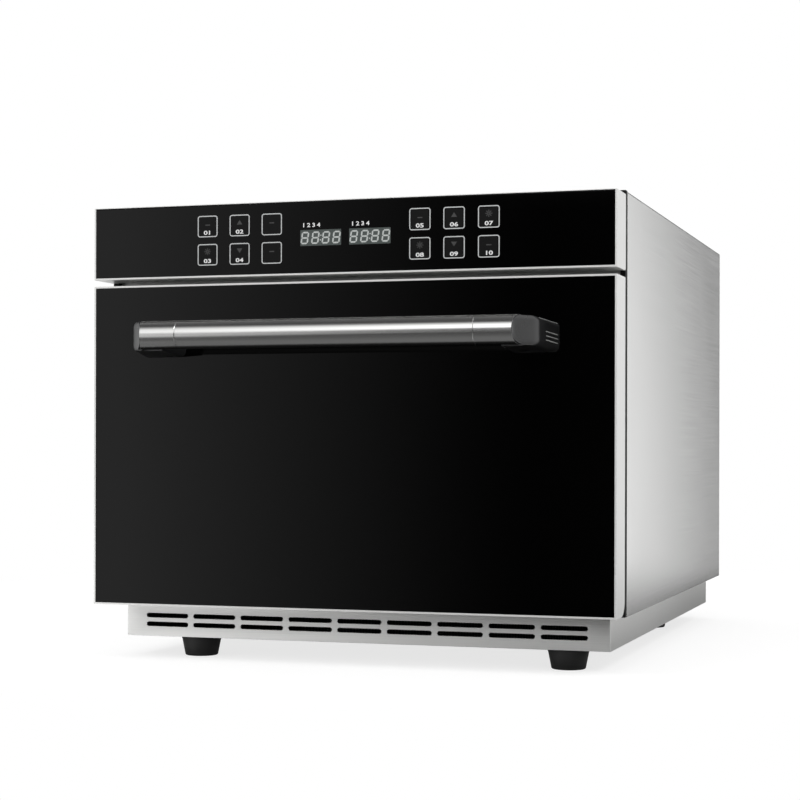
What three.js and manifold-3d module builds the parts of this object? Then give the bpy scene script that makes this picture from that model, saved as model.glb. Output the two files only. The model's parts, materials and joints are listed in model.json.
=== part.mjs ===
// Countertop speed oven: a drop-down door and a touch control head before a steel body on a vented plinth.
// Millimetres, +Z up. While the oven is built, x = 0 is its middle, y = 0 the door's front face and z = 0
// the door's lower edge. The last lines move the origin under the middle of the whole oven.
import * as THREE from "three";
import { mergeVertices } from "three/addons/utils/BufferGeometryUtils.js";
import Module from "manifold-3d";

const wasm = await Module();
wasm.setup();

// Sheet thicknesses and clearances
const seat = 0.3; // between two pieces that touch
const overcut = 1; // how far a cutter passes the face it leaves
const bite = 0.5; // how far the parts of one solid run into each other
const sheet = 1.5; // frames, brackets, liner and panels
const skin = 1.2; // body wrapper
const rim = 2; // edge frame of the door and of the control head

// Outer sizes
const ovenWidth = 620;
const doorHeight = 371.5;
const headGap = 7.5;
const headHeight = 84;
const headDepth = 50;
const doorSetIn = 2;
const sealDepth = 9.4;
const sealWidth = 6;
const bodyDepth = 715;
const topStep = 5;
const bodyDrop = 2.5;

const half = ovenWidth / 2;
const doorDepth = headDepth - doorSetIn;
const headBottom = doorHeight + headGap;
const headTop = headBottom + headHeight;
const bodyFront = headDepth + sealDepth + 2 * seat;
const bodyBack = bodyFront + bodyDepth;
const bodyTop = headTop + topStep;
const bodyBottom = -bodyDrop;
const insideHalf = half - skin;
const insideTop = bodyTop - skin;

// Plinth, vent slots and feet
const plinthInset = 17;
const plinthStep = 5;
const plinthBackInset = 13;
const plinthHeight = 38.2;
const slotColumns = 9;
const slotRows = 2;
const slotPitch = 60.2;
const slotLength = 53.5;
const slotHeight = 5.3;
const slotRowPitch = 10.4;
const slotDrop = 13.5; // from the plinth's upper edge to the middle of the upper row
const filterDepth = 7;
const filterBars = 14;
const filterBarWidth = 3;
const footHeight = 22.5;
const footTopRadius = 23.7;
const footBottomRadius = 19.2;
const footEdge = 1.5;
const footRecessRadius = 8;
const footRecessDepth = 12;
const footLeftInset = 86.2;
const footRightInset = 52.5;
const footFrontInset = 24;
const footSpacing = 521;

const plinthHalf = half - plinthInset;
const plinthFront = bodyFront - plinthStep;
const plinthBack = bodyBack - plinthBackInset;
const plinthTop = bodyBottom - seat;
const plinthBottom = plinthTop - plinthHeight;
const footFront = plinthFront + footFrontInset;

// Cooking cavity and what surrounds it
const cavitySideRoom = 135; // from the body's side to the cavity
const cavityLift = 70; // from the door's lower edge to the cavity's floor
const cavityTopRoom = 71.5; // from the door's upper edge down to the cavity's roof
const cavityDepth = 370;
const cavityFlange = 12;
const lagging = 23;
const fanChamber = 36; // between the rear baffle and the rear wall of the cavity
const deckLift = 16;
const deckThickness = 6;
const deckMargin = 4;
const rackLift = 58;
const runnerFlange = 13;
const runnerFrontGap = 6;
const runnerFoot = 6; // how far the runner's sheet goes on below the deck
const runnerHead = 14; // and above the rack's lower side
const rackWire = 5;
const rackCrossWire = 4;
const rackSideGap = 3;
const rackBackGap = 8;
const rackDepth = 285;
const rackWires = 11;

const frameBack = bodyFront + sheet;
const cavityHalf = half - cavitySideRoom;
const cavityHeight = doorHeight - cavityTopRoom - cavityLift;
const cavity = {
  x: [-cavityHalf, cavityHalf],
  y: [frameBack + seat, frameBack + seat + cavityDepth],
  z: [cavityLift, cavityLift + cavityHeight],
};
const fanHeight = cavityLift + cavityHeight / 2;
const baffleFront = cavity.y[1] - fanChamber;
const laggingBack = cavity.y[1] + sheet + seat + lagging;

// Convection fan and heaters
const impellerDepth = 22;
const impellerBlades = 8;
const impellerBladeThickness = 2;
const impellerBladeTurn = 0.35; // radians from the radius
const impellerHub = 16;
const impellerHubSetBack = 4;
const impellerGap = 5; // from the rear wall of the cavity to the impeller's disc
const shaftRadius = 6;
const motorRadius = 42;
const motorLength = 62;
const motorFlange = 120;
const motorCapLength = 12;
const motorCapInset = 8;
const shaftInMotor = 20;
const shaftClear = 3; // round a shaft where it passes through a sheet
const ringHeaterRoom = 15; // from the ring's middle to the cavity's roof and floor
const ringHeaterGap = 20; // from the ring's middle in to the impeller
const heaterTube = 3.5;
const heaterSideInset = 50; // from the side wall of the cavity to a straight heater leg
const heaterWallGap = 9; // from the roof or floor of the cavity to a heater's middle
const heaterFrontGap = 28;
const heaterTail = 12; // how far the heater ends stand out behind the lagging
const intakeHoleRadius = 8; // in the baffle in front of the fan
const intakeRingCount = 2;
const intakeRingPitch = 22;
const outletRows = 4; // hot air outlets at each side of the baffle
const outletPitch = 40;
const outletInset = 22;
const outletLength = 24;
const outletHeight = 9;

const ringHeaterRadius = cavityHeight / 2 - ringHeaterRoom;
const impellerRadius = ringHeaterRadius - ringHeaterGap;

// Microwave feed
const guideWidth = 80;
const guideHeight = 38;
const guideEndGap = 17.8; // from the body's side to the end of the waveguide
const guideTail = 45;
const collarRadius = 30;
const stirrerRadius = 62;
const stirrerShortArm = 37;
const stirrerBlade = 26;
const stirrerLift = 6; // from the cavity's floor
const stirrerShaftRadius = 4;
const stirrerShaftSeat = 10; // in the motor
const stirrerMotorRadius = 24;
const stirrerMotorHeight = 16;
const stirrerEar = 10;
const stirrerEarHalf = 8;
const magnetronWidth = 84;
const magnetronDepth = 76;
const magnetronHeight = 92;
const magnetronFins = 6;
const finThickness = 1.2;
const yokeWall = 3;
const anodeRadius = 20;
const filterBoxHalf = 22; // choke box on top of the yoke
const filterBoxHeight = 24;
const antennaRadius = 9;
const antennaLength = 20;

// Supply and cooling in the rear bay
const transformerSize = [108, 88, 86];
const transformerInset = 62; // from the rear panel
const transformerSide = 182; // from the body's right side to its middle
const coreFoot = 14; // how far the foot plate stands out at each side
const coreFootInset = 10;
const coreFootThickness = 3;
const coreInset = 16; // from the windings' front and back to the core's
const windingInset = 14; // from the core's lower and upper end
const windingSideInset = 12;
const primaryHeight = 24;
const windingGap = 6;
const capacitorRadius = 18;
const capacitorWidth = 54;
const capacitorHeight = 96;
const capacitorGap = 22;
const terminalOffset = 12;
const terminalRadius = 5;
const terminalHeight = 9;
const coolingFanSize = 120;
const coolingFanDepth = 38;
const coolingFanSide = 160; // from the body's left side to the fan's middle
const coolingFanLift = 60;
const coolingBlades = 7;
const coolingHubRadius = 21;
const coolingTipGap = 3;
const coolingFanWall = 3;
const coolingFanCorner = 5;
const coolingBladeWidth = 26;
const coolingBladeThickness = 2;
const coolingBladePitch = 0.6; // radians
const coolingSetBack = 3;
const strutHalf = 2;
const strutDepth = 5;
const intakeGap = 40; // from the lagging to the air intake in the chassis floor
const intakeDepth = 70;
const ventColumns = 2;
const ventRows = 7;
const ventRowPitch = 16;
const ventInset = 6; // from the fan's sides to its vents
const exhaustColumns = 6;
const exhaustDrop = 30; // from the top of the rear panel
const glandRadius = 10;
const glandNutRadius = 15;
const glandReach = 16;
const glandInside = 14;
const glandNut = 8;
const glandBore = 5;
const glandInset = 65; // from the body's side
const glandLift = 60;

// Relay board on its tray over the lagging
const trayDepth = 268;
const trayHeight = 12;
const traySideGap = 5;
const boardThickness = 1.6;
const boardSideGap = 26;
const boardFrontGap = 30;
const boardBackGap = 24;
const standoffHeight = 8;
const standoffRadius = 4;
const standoffInset = 12;
const relaysPerSide = 3;
const relayPitch = 32;
const relaySize = [20, 28, 17];
const relayInset = 48; // from the board's side to the outer relay's middle
const relayFrontGap = 24;
const coilSize = [70, 56, 34];
const coilBackGap = 34;
const coilOffset = -25;

// Control head
const glassThickness = 4;
const ledgeWidth = 10;
const displayWidth = 48.8;
const displayHeight = 18;
const displayDepth = 8;
const displayOffset = 29.2;
const displayLift = 41.6;
const headBracketInset = 40;
const wireHalf = 40; // half the width and height of the hole for the control head's wires
const wireRise = 18;

// Door, hinge and handle
const hingeInset = 18; // from the door's front face and from its lower edge to the hinge line
const panelEdge = 24; // from the door's side to its inner panel
const panelLip = 6;
const panelSetIn = 2.5; // from the door's rear edge
const plugDepth = 11.2;
const plugMargin = 47; // how far the plug passes the cavity opening at each side
const plugRise = 30; // and above and below it
const gasketWidth = 11;
const gasketInset = 2;
const armThickness = 4;
const armInset = 12;
const armHeight = 14;
const armBoss = 9;
const armFoot = 18;
const armFootHeight = 46;
const channelClear = 1; // round the arm and the cheek
const cheekGap = 4;
const pinRadius = 4;
const pinClearance = 0.3;
const pinProud = 2; // past the cheek
const cheekReach = 22;
const tongueInset = 60; // from the body's side
const tongueWidth = 10;
const tongueHeight = 9;
const tongueReach = 24; // past the back of the front frame
const tongueBelowTop = 36;
const tongueBaseRise = 8;
const slotClear = 3;
const slotLiftClear = 9;
const switchDepth = 20;
const switchHeight = 22;
const switchInnerHalf = 10;
const switchOuterHalf = 12;
const switchFoot = 14;
const switchBoreDepth = 12;
const plungerRadius = 2.5;
const plungerHead = 4;
const plungerHeadThickness = 2;
const plungerTravel = 4;
const plungerShow = 3; // between its head and the switch when it is pushed in
const plungerSeat = 10;
const barSides = 24;
const barRadius = 16;
const barWall = 1.5;
const barCentreGap = 65; // from the door's front face to the middle of the bar
const barDrop = 62; // from the door's upper edge to the middle of the bar
const barInset = 138.5; // from the door's side to the joint of bar and sleeve
const sleeveLength = 43; // along the front of the bar
const sleeveCollar = 3;
const spigotLength = 16;
const plugSetBack = 12;
const plugMitreInset = 1; // from the slanted end of the sleeve in to the bracket's face
const mitreRun = 20; // how far the slanted end runs outward
const mitreRise = 26; // over this depth
const stemInset = 8; // from the middle of the bar back to the front of the stem
const stemHeight = 32;
const stemDrop = 1; // from the middle of the bar down to the middle of the stem
const stemWidth = 38;
const stemSplay = 12;
const stemFlare = 4; // how much wider the stem's foot is on its inner side
const stemFootDepth = 8;
const stemNeck = 6;
const stemFrontInset = 1.5;
const stemElbow = [2, 3];
const ridgeCount = 3;
const ridgePitch = 4.6;
const ridgeHeight = 1.6;
const ridgeDepth = 1.2;
const ridgeLength = 34;
const ridgeSetBack = 4;
const ridgeDrop = 3.4; // from the middle of the bar to the middle ridge

const tongueOffset = half - tongueInset;
const barHeight = doorHeight - barDrop;
const barHalf = half - barInset;
const barFront = -barCentreGap - barRadius;
const barBack = -barCentreGap + barRadius;

// Finishes
function finish(color, roughness, metalness) {
  return new THREE.MeshStandardMaterial({ color, roughness, metalness });
}
const brushedSteel = finish(0xc9cac8, 0.36, 1);
const brightSteel = finish(0xb9bab8, 0.28, 1);
const cavitySteel = finish(0xa9aaa8, 0.3, 1);
const zincSheet = finish(0x9fa4a8, 0.5, 1);
const blackGlass = finish(0x050505, 0.08, 0);
const blackRubber = finish(0x141414, 0.75, 0);
const darkCasting = finish(0x2a2b2c, 0.42, 0.3);
const whiteWool = finish(0xd9d4c4, 0.95, 0);
const ceramic = finish(0xe9e5dc, 0.5, 0);
const heaterSheath = finish(0x4a4744, 0.6, 0.8);
const laminations = finish(0x6f7275, 0.55, 0.8);
const greenBoard = finish(0x1d5b3a, 0.55, 0);
const displayFace = finish(0x3d4440, 0.35, 0);
const blackPlastic = finish(0x18191a, 0.55, 0);
const greyPlastic = finish(0xb5b7b4, 0.5, 0);

// A closed three.js geometry as a solid. Triangles that collapse on a lathe's axis are left out.
function solid(geometry) {
  geometry.deleteAttribute("normal");
  geometry.deleteAttribute("uv");
  const merged = mergeVertices(geometry, 1e-4);
  const corners = [];
  for (let i = 0; i < merged.index.count; i += 3) {
    const [a, b, c] = [0, 1, 2].map((k) => merged.index.getX(i + k));
    if (a !== b && b !== c && a !== c) corners.push(a, b, c);
  }
  return new wasm.Manifold(
    new wasm.Mesh({
      numProp: 3,
      vertProperties: merged.attributes.position.array,
      triVerts: new Uint32Array(corners),
    }),
  );
}

// A box from its lowest and highest coordinate on each axis
function block({ x, y, z }) {
  const geometry = new THREE.BoxGeometry(x[1] - x[0], y[1] - y[0], z[1] - z[0]);
  geometry.translate((x[0] + x[1]) / 2, (y[0] + y[1]) / 2, (z[0] + z[1]) / 2);
  return solid(geometry);
}

// A sheet box: the outer box less its inside, open on the sides named, such as "-y"
function hollow(outer, wall, open) {
  const inner = {};
  for (const axis of ["x", "y", "z"]) {
    const [low, high] = outer[axis];
    inner[axis] = [
      open.includes("-" + axis) ? low - overcut : low + wall,
      open.includes("+" + axis) ? high + overcut : high - wall,
    ];
  }
  return block(outer).subtract(block(inner));
}

// A round rod along an axis. The centre gives the two other coordinates in their x, y, z order.
function rod(axis, centre, radius, from, to, sides = 20) {
  const geometry = new THREE.CylinderGeometry(radius, radius, to - from, sides);
  const middle = (from + to) / 2;
  if (axis === "x") {
    geometry.rotateZ(Math.PI / 2);
    geometry.translate(middle, centre[0], centre[1]);
  } else if (axis === "y") {
    geometry.translate(centre[0], middle, centre[1]);
  } else {
    geometry.rotateX(Math.PI / 2);
    geometry.translate(centre[0], centre[1], middle);
  }
  return solid(geometry);
}

function pipe(axis, centre, outerRadius, innerRadius, from, to, sides = 20) {
  return rod(axis, centre, outerRadius, from, to, sides).subtract(
    rod(axis, centre, innerRadius, from - overcut, to + overcut, sides),
  );
}

// Shapes drawn in a plane and extruded across it, between two coordinates on the third axis
const unit = { x: new THREE.Vector3(1, 0, 0), y: new THREE.Vector3(0, 1, 0), z: new THREE.Vector3(0, 0, 1) };
const planes = {
  xy: new THREE.Matrix4(),
  yz: new THREE.Matrix4().makeBasis(unit.y, unit.z, unit.x),
  xz: new THREE.Matrix4().makeBasis(unit.x, unit.z, unit.y.clone().negate()),
};
function extrude(shape, plane, from, to, arcSteps = 1) {
  const geometry = new THREE.ExtrudeGeometry(shape, {
    depth: to - from,
    bevelEnabled: false,
    curveSegments: arcSteps,
  });
  geometry.applyMatrix4(planes[plane]);
  if (plane === "xy") geometry.translate(0, 0, from);
  if (plane === "yz") geometry.translate(from, 0, 0);
  if (plane === "xz") geometry.translate(0, to, 0);
  return solid(geometry);
}

// A rectangle with rounded corners
function rounded(left, right, low, high, radius) {
  const r = Math.min(radius, (right - left) / 2 - 1e-3, (high - low) / 2 - 1e-3);
  const outline = new THREE.Shape();
  outline.moveTo(left + r, low);
  outline.lineTo(right - r, low);
  outline.absarc(right - r, low + r, r, -Math.PI / 2, 0, false);
  outline.lineTo(right, high - r);
  outline.absarc(right - r, high - r, r, 0, Math.PI / 2, false);
  outline.lineTo(left + r, high);
  outline.absarc(left + r, high - r, r, Math.PI / 2, Math.PI, false);
  outline.lineTo(left, low + r);
  outline.absarc(left + r, low + r, r, Math.PI, (3 * Math.PI) / 2, false);
  return outline;
}

// A rectangle with square corners
function square(left, right, low, high) {
  return new THREE.Shape([
    new THREE.Vector2(left, low),
    new THREE.Vector2(right, low),
    new THREE.Vector2(right, high),
    new THREE.Vector2(left, high),
  ]);
}

function disc(x, y, radius, sides = 12) {
  const points = [];
  for (let i = 0; i < sides; i++) {
    const angle = (2 * Math.PI * (i + 0.5)) / sides;
    points.push(new THREE.Vector2(x + radius * Math.cos(angle), y + radius * Math.sin(angle)));
  }
  return new THREE.Shape(points);
}

// A flat sheet with holes cut through it
function plate(outline, holes, plane, from, to) {
  const cutters = holes.map((hole) => extrude(hole, plane, from - overcut, to + overcut));
  return extrude(outline, plane, from, to).subtract(join(cutters));
}

// Rows and columns of round-ended slots, about a middle point
function slots(columns, rows, pitch, rowPitch, middleX, middleZ, length = slotLength, height = slotHeight) {
  const holes = [];
  for (let c = 0; c < columns; c++) {
    for (let r = 0; r < rows; r++) {
      const x = middleX + (c - (columns - 1) / 2) * pitch;
      const z = middleZ + (r - (rows - 1) / 2) * rowPitch;
      holes.push(rounded(x - length / 2, x + length / 2, z - height / 2, z + height / 2, height / 2));
    }
  }
  return holes;
}

function join(solids) {
  return solids.reduce((sum, next) => sum.add(next));
}

const oven = new THREE.Group();
const door = new THREE.Group();
oven.add(door);

// Names a solid, gives it its finish and puts it in its group. side -1 mirrors it to the left.
function piece(name, made, look, group = oven, side = 1) {
  const data = made.getMesh();
  const geometry = new THREE.BufferGeometry();
  geometry.setAttribute("position", new THREE.BufferAttribute(data.vertProperties, 3));
  geometry.setIndex(new THREE.BufferAttribute(data.triVerts, 1));
  const mesh = new THREE.Mesh(geometry, look);
  mesh.name = name;
  mesh.scale.x = side;
  group.add(mesh);
  return mesh;
}

// One piece at the right and its mirror image at the left
function pair(name, made, look, group = oven) {
  piece(name + "_right", made, look, group, 1);
  piece(name + "_left", made, look, group, -1);
}

// Plinth tray with its two rows of vent slots
const plinth = {
  x: [-plinthHalf, plinthHalf],
  y: [plinthFront, plinthBack],
  z: [plinthBottom, plinthTop],
};
const slotMiddle = plinthTop - slotDrop - ((slotRows - 1) * slotRowPitch) / 2;
const slotPattern = slots(slotColumns, slotRows, slotPitch, slotRowPitch, 0, slotMiddle);
const slotCutters = slotPattern.map((hole) =>
  extrude(hole, "xz", plinthFront - overcut, plinthFront + sheet + overcut),
);
piece("plinth_tray", hollow(plinth, sheet, ["+z"]).subtract(join(slotCutters)), brushedSteel);

// Air filter behind the vent slots
const filter = {
  x: [-plinthHalf + sheet + seat, plinthHalf - sheet - seat],
  y: [plinthFront + sheet + seat, plinthFront + sheet + seat + filterDepth],
  z: [plinthBottom + sheet + seat, plinthTop - sheet - seat],
};
const filterPitch = (filter.x[1] - filter.x[0]) / filterBars;
const filterGrid = [hollow(filter, filterBarWidth, ["-y", "+y"])];
for (let i = 1; i < filterBars; i++) {
  const middle = filter.x[0] + i * filterPitch;
  const across = [middle - filterBarWidth / 2, middle + filterBarWidth / 2];
  filterGrid.push(block({ x: across, y: filter.y, z: filter.z }));
}
piece("air_filter", join(filterGrid), zincSheet);

// Tapered rubber feet with a screw recess
const footProfile = [
  [0, footRecessDepth],
  [footRecessRadius, footRecessDepth],
  [footRecessRadius, 0],
  [footBottomRadius - footEdge, 0],
  [footBottomRadius, footEdge],
  [footTopRadius, footHeight],
  [0, footHeight],
].map(([radius, height]) => new THREE.Vector2(radius, height));
const footGeometry = new THREE.LatheGeometry(footProfile, 20);
footGeometry.rotateX(Math.PI / 2);
const footSolid = solid(footGeometry);
const footPlaces = {
  foot_front_left: [-plinthHalf + footLeftInset, footFront],
  foot_front_right: [plinthHalf - footRightInset, footFront],
  foot_rear_left: [-plinthHalf + footLeftInset, footFront + footSpacing],
  foot_rear_right: [plinthHalf - footRightInset, footFront + footSpacing],
};
for (const [name, [x, y]] of Object.entries(footPlaces)) {
  piece(name, footSolid, blackRubber).position.set(x, y, plinthBottom - seat - footHeight);
}

// Rear panel with its vents, set inside the end of the wrapper
const rearPanel = [bodyBack - 2 * sheet - seat, bodyBack - sheet - seat];
const floorTop = bodyBottom + sheet;
const stirrerY = (cavity.y[0] + baffleFront) / 2;
const transformerX = half - transformerSide;
const fanCentre = [-half + coolingFanSide, floorTop + coolingFanLift + coolingFanSize / 2];
const endSheet = square(-insideHalf + seat, insideHalf - seat, floorTop + seat, insideTop - seat);
const rearHoles = [
  ...slots(1, ventRows, 0, ventRowPitch, ...fanCentre, coolingFanSize - 2 * ventInset),
  ...slots(ventColumns, ventRows, slotPitch, ventRowPitch, transformerX, fanCentre[1]),
  ...slots(exhaustColumns, 1, slotPitch, 0, 0, insideTop - exhaustDrop),
];
const rearSheet = plate(endSheet, rearHoles, "xz", ...rearPanel);
const glandCentre = [half - glandInset, floorTop + glandLift];
piece(
  "rear_panel",
  rearSheet.subtract(
    rod("y", glandCentre, glandRadius + seat, rearPanel[0] - overcut, rearPanel[1] + overcut),
  ),
  brushedSteel,
);

// Cable gland in the rear panel: threaded barrel, outer nut and inner nut
const glandY = [rearPanel[0] - glandInside, rearPanel[1] + glandReach];
function glandNutFrom(from, to) {
  return pipe("y", glandCentre, glandNutRadius, glandRadius - seat, from, to, 6);
}
piece(
  "cable_gland",
  pipe("y", glandCentre, glandRadius, glandBore, ...glandY)
    .add(glandNutFrom(rearPanel[1] + seat, rearPanel[1] + glandNut))
    .add(glandNutFrom(rearPanel[0] - glandNut, rearPanel[0] - seat)),
  blackPlastic,
);

// Chassis floor with the stirrer's shaft hole and an intake over the plinth
const floorShape = square(-insideHalf + seat, insideHalf - seat, bodyFront, rearPanel[1]);
const floorHoles = [
  disc(0, stirrerY, stirrerShaftRadius + shaftClear),
  square(
    fanCentre[0] - coolingFanSize / 2,
    fanCentre[0] + coolingFanSize / 2,
    laggingBack + intakeGap,
    laggingBack + intakeGap + intakeDepth,
  ),
];
piece("chassis_floor", plate(floorShape, floorHoles, "xy", bodyBottom, floorTop), zincSheet);

// Body wrapper: roof and both sides, folded from one sheet
piece(
  "body_wrapper",
  hollow(
    { x: [-half, half], y: [bodyFront, bodyBack], z: [bodyBottom, bodyTop] },
    skin,
    ["-y", "+y", "-z"],
  ),
  brushedSteel,
);

// Front frame of the body, with the cavity opening, the wire hole and the two latch slots
const tongueLow = doorHeight - tongueBelowTop;
const tongueHigh = tongueLow + tongueHeight;
const headMiddle = (headBottom + headTop) / 2;
const frameHoles = [
  square(...cavity.x, ...cavity.z),
  square(-wireHalf, wireHalf, headMiddle - wireRise, headMiddle + wireRise),
];
for (const side of [-1, 1]) {
  const middle = side * tongueOffset;
  const reach = tongueWidth / 2 + slotClear;
  frameHoles.push(square(middle - reach, middle + reach, tongueLow - slotClear, tongueHigh + slotLiftClear));
}
piece("front_frame", plate(endSheet, frameHoles, "xz", bodyFront, frameBack), brushedSteel);

// Black seal strip round the front edge of the body
piece(
  "front_seal",
  hollow(
    {
      x: [-half + seat, half - seat],
      y: [headDepth + seat, bodyFront - seat],
      z: [bodyBottom + seat, bodyTop - seat],
    },
    sealWidth,
    ["-y", "+y"],
  ),
  blackRubber,
);

// Heater ends as [x, z] pairs. Each end runs back through the cavity wall and the lagging.
const legX = cavityHalf - heaterSideInset;
const upperHeaterZ = cavity.z[1] - heaterWallGap;
const lowerHeaterZ = cavity.z[0] + heaterWallGap;
const ringLeg = ringHeaterRadius * Math.SQRT1_2;
const heaterEnds = [
  [-legX, upperHeaterZ],
  [legX, upperHeaterZ],
  [-legX, lowerHeaterZ],
  [legX, lowerHeaterZ],
  [-ringLeg, fanHeight + ringLeg],
  [ringLeg, fanHeight + ringLeg],
];
function heaterHoles(from, to) {
  return join(heaterEnds.map((end) => rod("y", end, heaterTube + 2 * seat, from, to, 8)));
}

// Cavity liner with its front flange
const liner = {
  x: [cavity.x[0] - sheet, cavity.x[1] + sheet],
  y: [cavity.y[0], cavity.y[1] + sheet],
  z: [cavity.z[0] - sheet, cavity.z[1] + sheet],
};
const linerFlange = hollow(
  {
    x: [liner.x[0] - cavityFlange, liner.x[1] + cavityFlange],
    y: [cavity.y[0], cavity.y[0] + sheet],
    z: [liner.z[0] - cavityFlange, liner.z[1] + cavityFlange],
  },
  cavityFlange,
  ["-y", "+y"],
);
piece(
  "cavity_liner",
  hollow(liner, sheet, ["-y"])
    .add(linerFlange)
    .subtract(rod("y", [0, fanHeight], shaftRadius + shaftClear, cavity.y[1] - overcut, laggingBack))
    .subtract(rod("z", [0, stirrerY], collarRadius, liner.z[0] - overcut, cavity.z[0] + overcut, 24))
    .subtract(heaterHoles(cavity.y[1] - overcut, laggingBack)),
  cavitySteel,
);

// Lagging round the cavity
const wool = {
  x: [liner.x[0] - seat - lagging, liner.x[1] + seat + lagging],
  y: [cavity.y[0] + sheet + seat, laggingBack],
  z: [liner.z[0] - seat - lagging, liner.z[1] + seat + lagging],
};
piece(
  "insulation_jacket",
  hollow(wool, lagging, ["-y"])
    .subtract(rod("y", [0, fanHeight], shaftRadius + shaftClear, liner.y[1], laggingBack + overcut))
    .subtract(rod("z", [0, stirrerY], collarRadius + 2 * seat, wool.z[0] - overcut, liner.z[0], 24))
    .subtract(heaterHoles(liner.y[1], laggingBack + overcut)),
  whiteWool,
);

// Perforated baffle in front of the fan
const baffleHoles = [];
const baffleShape = square(
  cavity.x[0] + seat,
  cavity.x[1] - seat,
  cavity.z[0] + seat,
  cavity.z[1] - seat,
);
for (let ring = 0; ring <= intakeRingCount; ring++) {
  const count = ring === 0 ? 1 : 6 * ring;
  for (let i = 0; i < count; i++) {
    const angle = (2 * Math.PI * i) / count;
    const x = ring * intakeRingPitch * Math.cos(angle);
    const z = fanHeight + ring * intakeRingPitch * Math.sin(angle);
    baffleHoles.push(disc(x, z, intakeHoleRadius, 8));
  }
}
for (const side of [-1, 1]) {
  const outletX = side * (cavityHalf - outletInset);
  baffleHoles.push(...slots(1, outletRows, 0, outletPitch, outletX, fanHeight, outletLength, outletHeight));
}
for (const [x, z] of heaterEnds.slice(0, 4)) {
  baffleHoles.push(disc(x, z, heaterTube + 2 * seat, 8));
}
piece("fan_baffle", plate(baffleShape, baffleHoles, "xz", baffleFront, baffleFront + sheet), cavitySteel);

// Convection impeller on its shaft
const impellerBack = cavity.y[1] - impellerGap;
const impellerFront = impellerBack - impellerDepth;
const shaftEnd = laggingBack + seat + sheet + shaftInMotor;
const impellerParts = [
  rod("y", [0, fanHeight], impellerRadius, impellerBack - sheet, impellerBack, 32),
  rod("y", [0, fanHeight], impellerHub, impellerFront + impellerHubSetBack, impellerBack, 16),
  rod("y", [0, fanHeight], shaftRadius, impellerBack - bite, shaftEnd, 16),
];
for (let i = 0; i < impellerBlades; i++) {
  const bladeLength = impellerRadius - impellerHub;
  const bladeDepth = impellerDepth - sheet + bite;
  const blade = new THREE.BoxGeometry(bladeLength, bladeDepth, impellerBladeThickness);
  blade.rotateY(impellerBladeTurn);
  blade.translate(impellerHub + bladeLength / 2 - impellerBladeThickness, impellerFront + bladeDepth / 2, 0);
  blade.rotateY((2 * Math.PI * i) / impellerBlades);
  blade.translate(0, 0, fanHeight);
  impellerParts.push(solid(blade));
}
piece("convection_impeller", join(impellerParts), cavitySteel);

// Convection motor on its flange behind the lagging
const motorFront = laggingBack + seat;
const motorBack = motorFront + sheet + motorLength;
const motorCapFront = motorBack - motorCapLength;
piece(
  "convection_motor",
  block({
    x: [-motorFlange / 2, motorFlange / 2],
    y: [motorFront, motorFront + sheet],
    z: [fanHeight - motorFlange / 2, fanHeight + motorFlange / 2],
  })
    .add(rod("y", [0, fanHeight], motorRadius, motorFront + sheet - bite, motorCapFront, 24))
    .add(rod("y", [0, fanHeight], motorRadius - motorCapInset, motorCapFront - bite, motorBack, 24))
    .subtract(
      rod(
        "y",
        [0, fanHeight],
        shaftRadius + seat,
        motorFront - overcut,
        motorFront + sheet + shaftInMotor + overcut,
        16,
      ),
    ),
  laminations,
);

// Ring heater round the impeller
const heaterEnd = laggingBack + heaterTail;
const ringY = (impellerFront + impellerBack) / 2;
const ringGeometry = new THREE.TorusGeometry(ringHeaterRadius, heaterTube, 6, 32);
ringGeometry.rotateX(Math.PI / 2);
ringGeometry.translate(0, ringY, fanHeight);
const ringTails = heaterEnds.slice(4).map((end) => rod("y", end, heaterTube, ringY, heaterEnd, 8));
piece("ring_heater", join([solid(ringGeometry), ...ringTails]), heaterSheath);

// Upper and lower heaters: two legs joined by a cross stretch at the front
function loopHeater(z) {
  const crossY = cavity.y[0] + heaterFrontGap;
  return join([
    rod("y", [-legX, z], heaterTube, crossY, heaterEnd, 8),
    rod("y", [legX, z], heaterTube, crossY, heaterEnd, 8),
    rod("x", [crossY, z], heaterTube, -legX - heaterTube, legX + heaterTube, 8),
  ]);
}
piece("upper_heater", loopHeater(upperHeaterZ), heaterSheath);
piece("lower_heater", loopHeater(lowerHeaterZ), heaterSheath);

// Runners on the cavity's side walls, which carry the deck and the rack
const deckBottom = cavity.z[0] + deckLift;
const rackBottom = cavity.z[0] + rackLift;
const runnerWall = cavityHalf - seat;
const runnerY = [cavity.y[0] + runnerFrontGap, baffleFront - seat];
const shelf = (top) =>
  block({ x: [runnerWall - runnerFlange, runnerWall], y: runnerY, z: [top - seat - sheet, top - seat] });
const runnerSheetZ = [deckBottom - runnerFoot, rackBottom + runnerHead];
pair(
  "rack_runner",
  block({ x: [runnerWall - sheet, runnerWall], y: runnerY, z: runnerSheetZ })
    .add(shelf(deckBottom))
    .add(shelf(rackBottom)),
  cavitySteel,
);

// Ceramic deck over the stirrer
piece(
  "ceramic_deck",
  block({
    x: [-cavityHalf + deckMargin, cavityHalf - deckMargin],
    y: [runnerY[0], baffleFront - deckMargin],
    z: [deckBottom, deckBottom + deckThickness],
  }),
  ceramic,
);

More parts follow.
